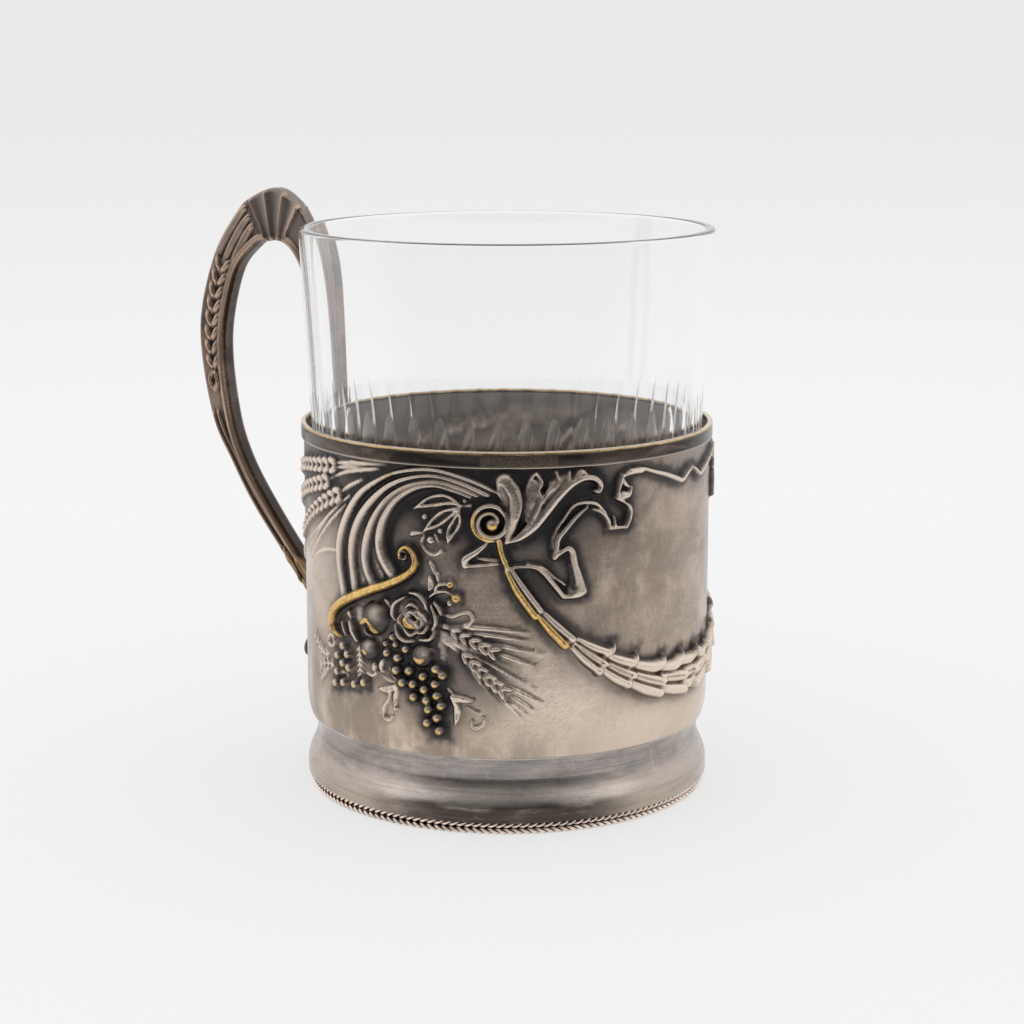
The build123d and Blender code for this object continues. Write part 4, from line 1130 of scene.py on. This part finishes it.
fan_start, fan_end = share_near(4.5, 33.4) - 0.004, share_near(18.3, 36.2) + 0.004
ear_top, knot_end = share_near(26.2, 25.0) + 0.006, share_near(28.3, 2.0) + 0.018
leaf_place, leg_end = share_near(11.0, -30.0), share_near(2.0, -41.5)
cast.bar(beside(0.95, share_near(0.0, 2.0), leg_end, True), 1.5, 0.5)
for distance in (1.1, 2.9, 4.7):
    cast.bar(beside(distance, fan_end, ear_top), [1.2, 1.7, 1.5, 0.9], [0.5, 0.5, 0.45, 0.2], power=0.4)
for distance in (0.9, 2.0):
    line = beside(distance, share_near(0.2, 9.0), fan_start)
    cast.bar(line, [0.6, 0.9, 1.2, 1.5], [0.1, 0.35, 0.45, 0.5], power=0.4)
for distance in (0.8, 1.85):
    cast.bar(beside(distance, knot_end, leaf_place), [0.85, 0.95, 0.95, 0.8], [0.4, 0.45, 0.45, 0.3],
             power=0.45)
cast.ear(handle_ear, 8, length=2.9, width=1.35, height=0.75, spread=-0.45, gap=0.85, grow=(1.05, 0.85))
knot_turn = np.linspace(0, 2 * np.pi, 25)
knot_across = 26.0 + 0.85 * np.cos(knot_turn) + 0.12 * np.sin(knot_turn)
cast.bar(np.c_[knot_across, 2.3 + 1.55 * np.sin(knot_turn)], 0.75, 0.75)
for line in handle_leaves:
    cast.leaf(line, 1.8, 0.7, vein=0.3, gilt=0.6)
fan_u, fan_z = np.meshgrid(cast.across - fan_centre[0], cast.up - fan_centre[1])
fan_angle = np.arctan2(fan_u, fan_z)
fan_flute = np.interp(fan_angle, fan_edges, np.arange(4.0))
fan_dip = 1 - (2 * (fan_flute - np.floor(np.minimum(fan_flute, 2.999))) - 1) ** 2
in_fan = (fan_angle > fan_edges[0]) & (fan_angle < fan_edges[-1]) & (fan_z > 3.0)
cast.height = np.where(in_fan, 0.62 - 0.45 * fan_dip, cast.height)
cast_height = cast.soften(cast.height, 0.07)
cast_hollow = rising(cast.soften(cast_height, 0.5) - cast_height, 0, 0.2)
cast_crest = rising(cast_height - cast.soften(cast_height, 0.6), 0, 0.22)


def sampled(field):
    """A field of the casting at the spots of its face, between the field's cells."""
    u = np.clip((spots[..., 0] - cast.across[0]) / cast.pitch, 0, len(cast.across) - 1.001)
    z = np.clip((spots[..., 1] - cast.up[0]) / cast.rise, 0, len(cast.up) - 1.001)
    j, i = u.astype(int), z.astype(int)
    s, t = u - j, z - i
    below = field[i, j] * (1 - s) + field[i, j + 1] * s
    above = field[i + 1, j] * (1 - s) + field[i + 1, j + 1] * s
    return below * (1 - t) + above * t


def edge_side(edge, half):
    """The narrow side along one edge of the handle, from one face to the other."""
    across, height = (np.repeat(edge[:, k:k + 1], len(edge_steps), 1) for k in (0, 1))
    return np.stack([across, half * edge_steps, height], axis=-1)


def round_section(face, inner, outer):
    """A field of the face for the whole section: the face, the inner side, the other face, the outer side."""
    edge = np.ones((len(face), len(edge_steps)))
    return np.concatenate([face, inner * edge, face[:, ::-1], outer * edge], axis=1)


def tube(rings):
    """Corners and faces of a closed tube through rings of equal count, with both ends closed."""
    count, around = rings.shape[:2]
    number = np.arange(count * around).reshape(count, around)
    beside_it = np.roll(number, -1, axis=1)
    walls = np.stack([number[:-1], beside_it[:-1], beside_it[1:], number[1:]], axis=-1).reshape(-1, 4)
    corners = np.vstack([rings.reshape(-1, 3), rings[0].mean(axis=0), rings[-1].mean(axis=0)])
    start, end = count * around, count * around + 1
    caps = np.vstack([
        np.c_[np.full(around, start), beside_it[0], number[0]],
        np.c_[np.full(around, end), number[-1], beside_it[-1]],
    ])
    return corners, walls, caps


side = np.r_[0, 0.012, 0.03, 0.055, np.linspace(0.09, 0.91, 38), 0.945, 0.97, 0.988, 1]
edge_steps = np.linspace(-1, 1, 7)[1:-1]
spots = outer_edge[:, None] + side[None, :, None] * (inner_edge - outer_edge)[:, None]
from_edge = np.minimum(side, 1 - side)[None] * breadth[:, None]
corner = np.minimum(handle_rounding, 0.45 * breadth)[:, None]
round_off = corner - np.sqrt(np.maximum(corner**2 - np.maximum(corner - from_edge, 0) ** 2, 0))
face_height = handle_half - handle_sunk - round_off + sampled(cast_height) * rising(from_edge, 0, 0.45)
front = np.stack([spots[..., 0], -face_height, spots[..., 1]], axis=-1)
back = np.stack([spots[..., 0], face_height, spots[..., 1]], axis=-1)[:, ::-1]
inner_side = edge_side(inner_edge, face_height[:, -1:])
outer_side = edge_side(outer_edge, -face_height[:, :1])
rings = np.concatenate([front, inner_side, back, outer_side], axis=1)
rings[..., 0] = -(leg_reach + rings[..., 0])
rings[..., 2] += ring_high
loop_corners, loop_walls, loop_caps = tube(rings)

tail_line, tail_share = smooth_path(handle_tail, 0.25)
tail_size = np.interp(tail_share, [0, 0.2, 0.45, 0.65, 0.8, 0.92, 1.0],
                      [2.3, 2.2, 1.55, 1.6, 2.15, 1.7, 0.25])
tail_ahead = np.gradient(tail_line, axis=0)
tail_ahead /= np.hypot(*tail_ahead.T)[:, None]
tail_turn = np.linspace(0, 2 * np.pi, 29)[:-1]
tail_aside = np.c_[-tail_ahead[:, 1], tail_ahead[:, 0]][:, None]
tail_spots = tail_line[:, None] + tail_size[:, None, None] * np.cos(tail_turn)[None, :, None] * tail_aside
tail_deep = 0.85 * tail_size[:, None] * np.sin(tail_turn)
tail_rings = np.stack([-(leg_reach + tail_spots[..., 0]), tail_deep, ring_high + tail_spots[..., 1]], axis=-1)
tail_corners, tail_walls, tail_caps = tube(tail_rings)
tail_from = len(loop_corners)

look = Look("handle_metal")
place = look.place()
height = look.height(place)
cloud = look.noise(place, 130.0, 4.0, 0.6, 0.4)
speck = look.noise(place, 1500.0, 3.0, 0.6)
colour = look.mix(look.ramp(cloud, 0.35, 0.65), tone(0.13, 0.106, 0.092), tone(0.34, 0.252, 0.20))
colour = look.stain(colour, height, 0.090, 0.100, 0.5, (0.36, 0.31, 0.28))
colour = look.stain(colour, height, 0.066, 0.050, 0.85, (0.12, 0.085, 0.065))
colour = look.stain(colour, speck, 0.55, 0.75, 0.4, (0.06, 0.05, 0.045))
handle_values = {}
for key, field, inner, outer, tail, share, paint in (
    ("dark", cast_hollow, 0.75, 0.225, 0.15, 0.9, (0.022, 0.022, 0.024)),
    ("bright", cast_crest, 0.0, 0.0, 0.0, 0.75, (0.68, 0.46, 0.33)),
    ("golden", cast.soften(cast.gilt, 0.1), 0.0, 0.0, 0.0, 0.7, (0.52, 0.36, 0.16)),
):
    on_loop = round_section(sampled(field), inner, outer).ravel()
    handle_values[key] = np.r_[on_loop, 0, 0, np.full(len(tail_corners), tail)]
    colour = look.cover(colour, look.math("MULTIPLY", look.value_of(key), share), paint)
handle_metal = look.metal(colour, look.ramp(cloud, 0.3, 0.7, 0.34, 0.24), speck, 0.00002)
piece("handle_casting", np.vstack([loop_corners, tail_corners]),
      [loop_walls[:, ::-1], loop_caps[:, ::-1], tail_walls + tail_from, tail_caps + tail_from],
      handle_metal, "holder", "handle", handle_values)

# Tea glass: blown in a mould, clear and thin-walled, with a heavy bottom and a melted, rounded lip.
# A ring of hollow flutes is cut round it, and their pointed tips show above the rim of the holder.

glass_base, glass_rim = 10.6, 99.5
glass_base_radius, glass_rim_radius = 31.53, 36.469
glass_wall, glass_floor = 1.8, 15.6
lip_height, lip_power, lip_shoulder = 0.35, 0.6, 0.6
heel_rounding, bowl_rounding, bowl_flat = 2.0, 3.0, 10.0
flute_count, flute_tip, flute_end = 46, 70.9, 24.9
flute_hollow, flute_widening, flute_share = 4.2, 0.5, 0.94
least_half = 0.03
plain_reach = 3.5
hollow_steps = np.array([-1.0, -0.8, -0.55, -0.28, 0.0, 0.28, 0.55, 0.8, 1.0])
ridge_steps = np.array([0.04, 0.18, 0.34, 0.5, 0.66, 0.82, 0.96])
flute_steps = len(hollow_steps) + len(ridge_steps)
flute_cut = len(hollow_steps) - 1
flute_half_pitch = np.pi / flute_count
flute_tail = np.array([0.02, 0.06, 0.15, 0.3, 0.5, 0.8, 1.2, 1.7, 2.4, 3.2, 4.2, 5.5, 7.0, 9.0, 11.5, 14.5,
                       18.0])
outer_levels = np.r_[
    glass_base + heel_rounding, 14.0, 18.0, 22.0, flute_end - 0.3, flute_end + flute_tail[:-2], 41.0, 44.0,
    48.0, 52.0, flute_tip - flute_tail[::-1], flute_tip + 0.1, flute_tip + 0.4, 71.8, 72.6, 73.5, 74.5, 76.0,
    82.0, 90.0, 96.0, glass_rim - lip_shoulder, glass_rim - lip_height,
]
inner_levels = np.r_[
    glass_rim - lip_height, glass_rim - lip_shoulder, 97.5, 92.0, 82.0, 70.0, 55.0, 40.0, 28.0,
    glass_floor + 4.5, glass_floor + bowl_rounding,
]
glass_lean = (glass_rim_radius - glass_base_radius) / (glass_rim - glass_base)
sectors = np.arange(flute_count) * 2 * flute_half_pitch
glass_rings, glass_creased, glass_hollows, glass_bends = [], [], [], []


def wall_radius(height):
    return glass_base_radius + glass_lean * (height - glass_base)


def glass_ring(radius, height, half=least_half, plain=1.0, widening=None):
    """Add one level of the glass: hollow and ridge of every flute, by the flute's half width in millimetres.
    Where plain is 1 the corners are spread evenly instead. widening is how fast the square of the half width
    grows with height, and gives the level true normals."""
    half_angle = min(half / radius, flute_share * flute_half_pitch)
    ridge_angles = half_angle + ridge_steps * 2 * (flute_half_pitch - half_angle)
    into = np.concatenate([hollow_steps * half_angle, ridge_angles]) * (1 - plain)
    even = (np.arange(flute_steps) - flute_cut // 2) * 2 * flute_half_pitch / flute_steps
    into = into + even * plain
    depth = half**2 / (2 * flute_hollow) if plain == 0 else 0.0
    sunk = np.concatenate([depth * (1 - hollow_steps**2), 0 * ridge_steps])
    edges = np.isin(np.arange(flute_steps), (0, flute_cut)) & (depth > 0)
    angle = (sectors[:, None] + into[None]).ravel()
    far = radius - np.tile(sunk, flute_count)
    out = np.c_[np.cos(angle), np.sin(angle), 0 * angle]
    side = np.c_[-np.sin(angle), np.cos(angle), 0 * angle]
    bend = np.tile(np.r_[hollow_steps * half, 0 * ridge_steps], flute_count)[:, None] / flute_hollow
    ridge = (widening is not None) * (out - (0, 0, glass_lean))
    hollow = ridge - bend * side + (0, 0, widening / (2 * flute_hollow)) if depth > 0 else ridge
    glass_creased.append(np.tile(edges, flute_count))
    glass_bends.append((ridge, hollow))
    glass_hollows.append(depth > 0)
    glass_rings.append(np.c_[far * np.cos(angle), far * np.sin(angle), np.full(len(angle), height)])


heel_turn = np.radians([0, 18, 36, 54, 72])
for angle in heel_turn:
    radius = wall_radius(glass_base) - heel_rounding + heel_rounding * np.sin(angle)
    glass_ring(radius, glass_base + heel_rounding - heel_rounding * np.cos(angle))
for height in outer_levels:
    within = min(flute_tip - height, height - flute_end)
    half = np.sqrt(flute_widening * max(within, 0.0))
    widest = flute_share * flute_half_pitch * wall_radius(height)
    widening = 0.0 if half > widest else flute_widening * np.sign(flute_tip + flute_end - 2 * height)
    half = np.clip(half, least_half, widest)
    glass_ring(wall_radius(height), height, half, np.clip(-within / plain_reach, 0, 1), widening)
lip_radius = glass_wall / 2
for angle in np.radians([8, 18, 30, 45, 60, 75, 90, 105, 120, 135, 150, 162, 172]):
    radius = glass_rim_radius - lip_radius
    radius = radius + lip_radius * np.sign(np.cos(angle)) * np.abs(np.cos(angle)) ** lip_power
    glass_ring(radius, glass_rim - lip_height + lip_height * np.sin(angle))
for height in inner_levels:
    glass_ring(wall_radius(height) - glass_wall, height)
bowl_radius = wall_radius(glass_floor + bowl_rounding) - glass_wall
bowl_turn = heel_turn + 0.3
for angle in bowl_turn:
    radius = bowl_radius - bowl_rounding + bowl_rounding * np.cos(angle)
    glass_ring(radius, glass_floor + bowl_rounding - bowl_rounding * np.sin(angle))
glass_ring(bowl_flat, glass_floor)
glass_corners, glass_walls, glass_caps = tube(np.array(glass_rings))
glass_ridges, glass_cuts = np.array(glass_bends).transpose(1, 0, 2, 3).reshape(2, -1, 3)
glass_hollows = np.array(glass_hollows)
in_hollow = np.arange(flute_steps * flute_count) % flute_steps < flute_cut
in_flute = (glass_hollows[:-1] & glass_hollows[1:])[:, None] & in_hollow[None]
glass_normals = np.where(in_flute.reshape(-1, 1, 1), glass_cuts[glass_walls], glass_ridges[glass_walls])
glass_normals = np.vstack([glass_normals.reshape(-1, 3), np.zeros((glass_caps.size, 3))])
glass_long = np.maximum(np.linalg.norm(glass_normals, axis=1, keepdims=True), 1e-9)

look = Look("clear_glass_cut")
smear = look.ramp(look.noise(look.place(), 60.0, 3.0), 0.35, 0.75, 0.0, 0.02)
given = {"Base Color": tone(0.996, 0.997, 0.997), "Roughness": smear, "IOR": 1.48, "Transmission Weight": 1.0}
shader = look.add("ShaderNodeBsdfPrincipled", given)
look.add("ShaderNodeOutputMaterial", {"Surface": shader.outputs["BSDF"]})
piece("tea_glass_cut", glass_corners, [glass_walls, glass_caps], look.material, "glass", "tea_glass",
      None, np.r_[np.concatenate(glass_creased), False, False], glass_normals / glass_long)

# Stage: a white sweep that fades softly into the background, in a bright room that is dim only on the
# camera's side, as on a photo table. Polished metal shows that dim side, and the lit paper near the
# foot, as reflections.

camera_turn = np.radians(30.0)
towards_camera = (np.sin(camera_turn), -np.cos(camera_turn), 0.0)
camera_far, camera_high, camera_shift, camera_tilt = 0.4246, 0.1342, 0.00091, 11.42
background_grey, near_grey = 0.823, 0.925
shadow_share = 0.30
floor_mesh = bpy.data.meshes.new("floor")
floor_mesh.from_pydata([(-6, -6, 0), (6, -6, 0), (6, 6, 0), (-6, 6, 0)], [], [(0, 1, 2, 3)])
floor = bpy.data.objects.new("floor", floor_mesh)
bpy.context.collection.objects.link(floor)
look = Look("white_sweep")
place = look.place()
near = look.math("DIVIDE", camera_far, look.math("ADD", look.vector("LENGTH", place), camera_far))
glow = look.ramp(near, 0.0, 0.62, background_grey - shadow_share, near_grey - shadow_share)
glow = look.math("SUBTRACT", glow, look.ramp(near, 0.62, 1.0, 0.0, 0.018))
fibre = look.ramp(look.noise(place, 900.0, 2.0), 0.3, 0.7, 0.97, 1.0)
paper = look.add("ShaderNodeBsdfDiffuse", {"Color": look.mix(fibre, tone(0, 0, 0), tone(0.3, 0.3, 0.3))})
light = look.add("ShaderNodeEmission", {"Color": tone(1.0, 1.0, 1.0), "Strength": glow})
lit_paper = look.add("ShaderNodeAddShader", {0: paper.outputs[0], 1: light.outputs[0]})
dim_paper = look.add("ShaderNodeEmission", {"Color": tone(0.15, 0.155, 0.165), "Strength": 1.0})
paths = look.add("ShaderNodeLightPath").outputs
mirrored = look.math("GREATER_THAN", paths["Is Glossy Ray"], paths["Is Transmission Ray"])
in_front = look.ramp(look.vector("DOT_PRODUCT", place, towards_camera), 0.085, 0.30)
share = look.math("MULTIPLY", in_front, mirrored)
seen_paper = look.add("ShaderNodeMixShader", {0: share, 1: lit_paper.outputs[0], 2: dim_paper.outputs[0]})
look.add("ShaderNodeOutputMaterial", {"Surface": seen_paper.outputs[0]})
floor_mesh.materials.append(look.material)

room = bpy.data.worlds.new("room")
bpy.context.scene.world = room
room.use_nodes = True
room.node_tree.nodes.clear()
sky = Nodes(room.node_tree)
way = sky.add("ShaderNodeTexCoord").outputs["Generated"]
dim_side = (0.978 * towards_camera[0], 0.978 * towards_camera[1], -0.208)
dim = sky.ramp(sky.vector("DOT_PRODUCT", way, dim_side), 0.15, 0.85, 1.0, 0.14)
paths = sky.add("ShaderNodeLightPath").outputs
seen = sky.math("MAXIMUM", paths["Is Camera Ray"], paths["Is Transmission Ray"])
strength = sky.add("ShaderNodeMix", {"Factor": paths["Is Glossy Ray"], 2: 1.0, 3: dim},
                   data_type="FLOAT").outputs[0]
strength = sky.add("ShaderNodeMix", {"Factor": seen, 2: strength, 3: background_grey},
                   data_type="FLOAT").outputs[0]
backdrop = sky.add("ShaderNodeBackground", {"Color": tone(1.0, 1.0, 1.0), "Strength": strength})
sky.add("ShaderNodeOutputWorld", {"Surface": backdrop.outputs["Background"]})

camera_data = bpy.data.cameras.new("camera")
camera_data.lens = 85.0
camera_data.sensor_width = 36.0
camera = bpy.data.objects.new("camera", camera_data)
camera.location = (
    camera_far * np.sin(camera_turn) + camera_shift * np.cos(camera_turn),
    -camera_far * np.cos(camera_turn) + camera_shift * np.sin(camera_turn),
    camera_high,
)
camera.rotation_euler = (np.radians(90 - camera_tilt), 0, camera_turn)
bpy.context.collection.objects.link(camera)
bpy.context.scene.camera = camera
bpy.context.scene.view_settings.view_transform = "Standard"
bpy.context.scene.cycles.glossy_bounces = 64
bpy.context.scene.cycles.transmission_bounces = 24
bpy.context.scene.cycles.max_bounces = 80
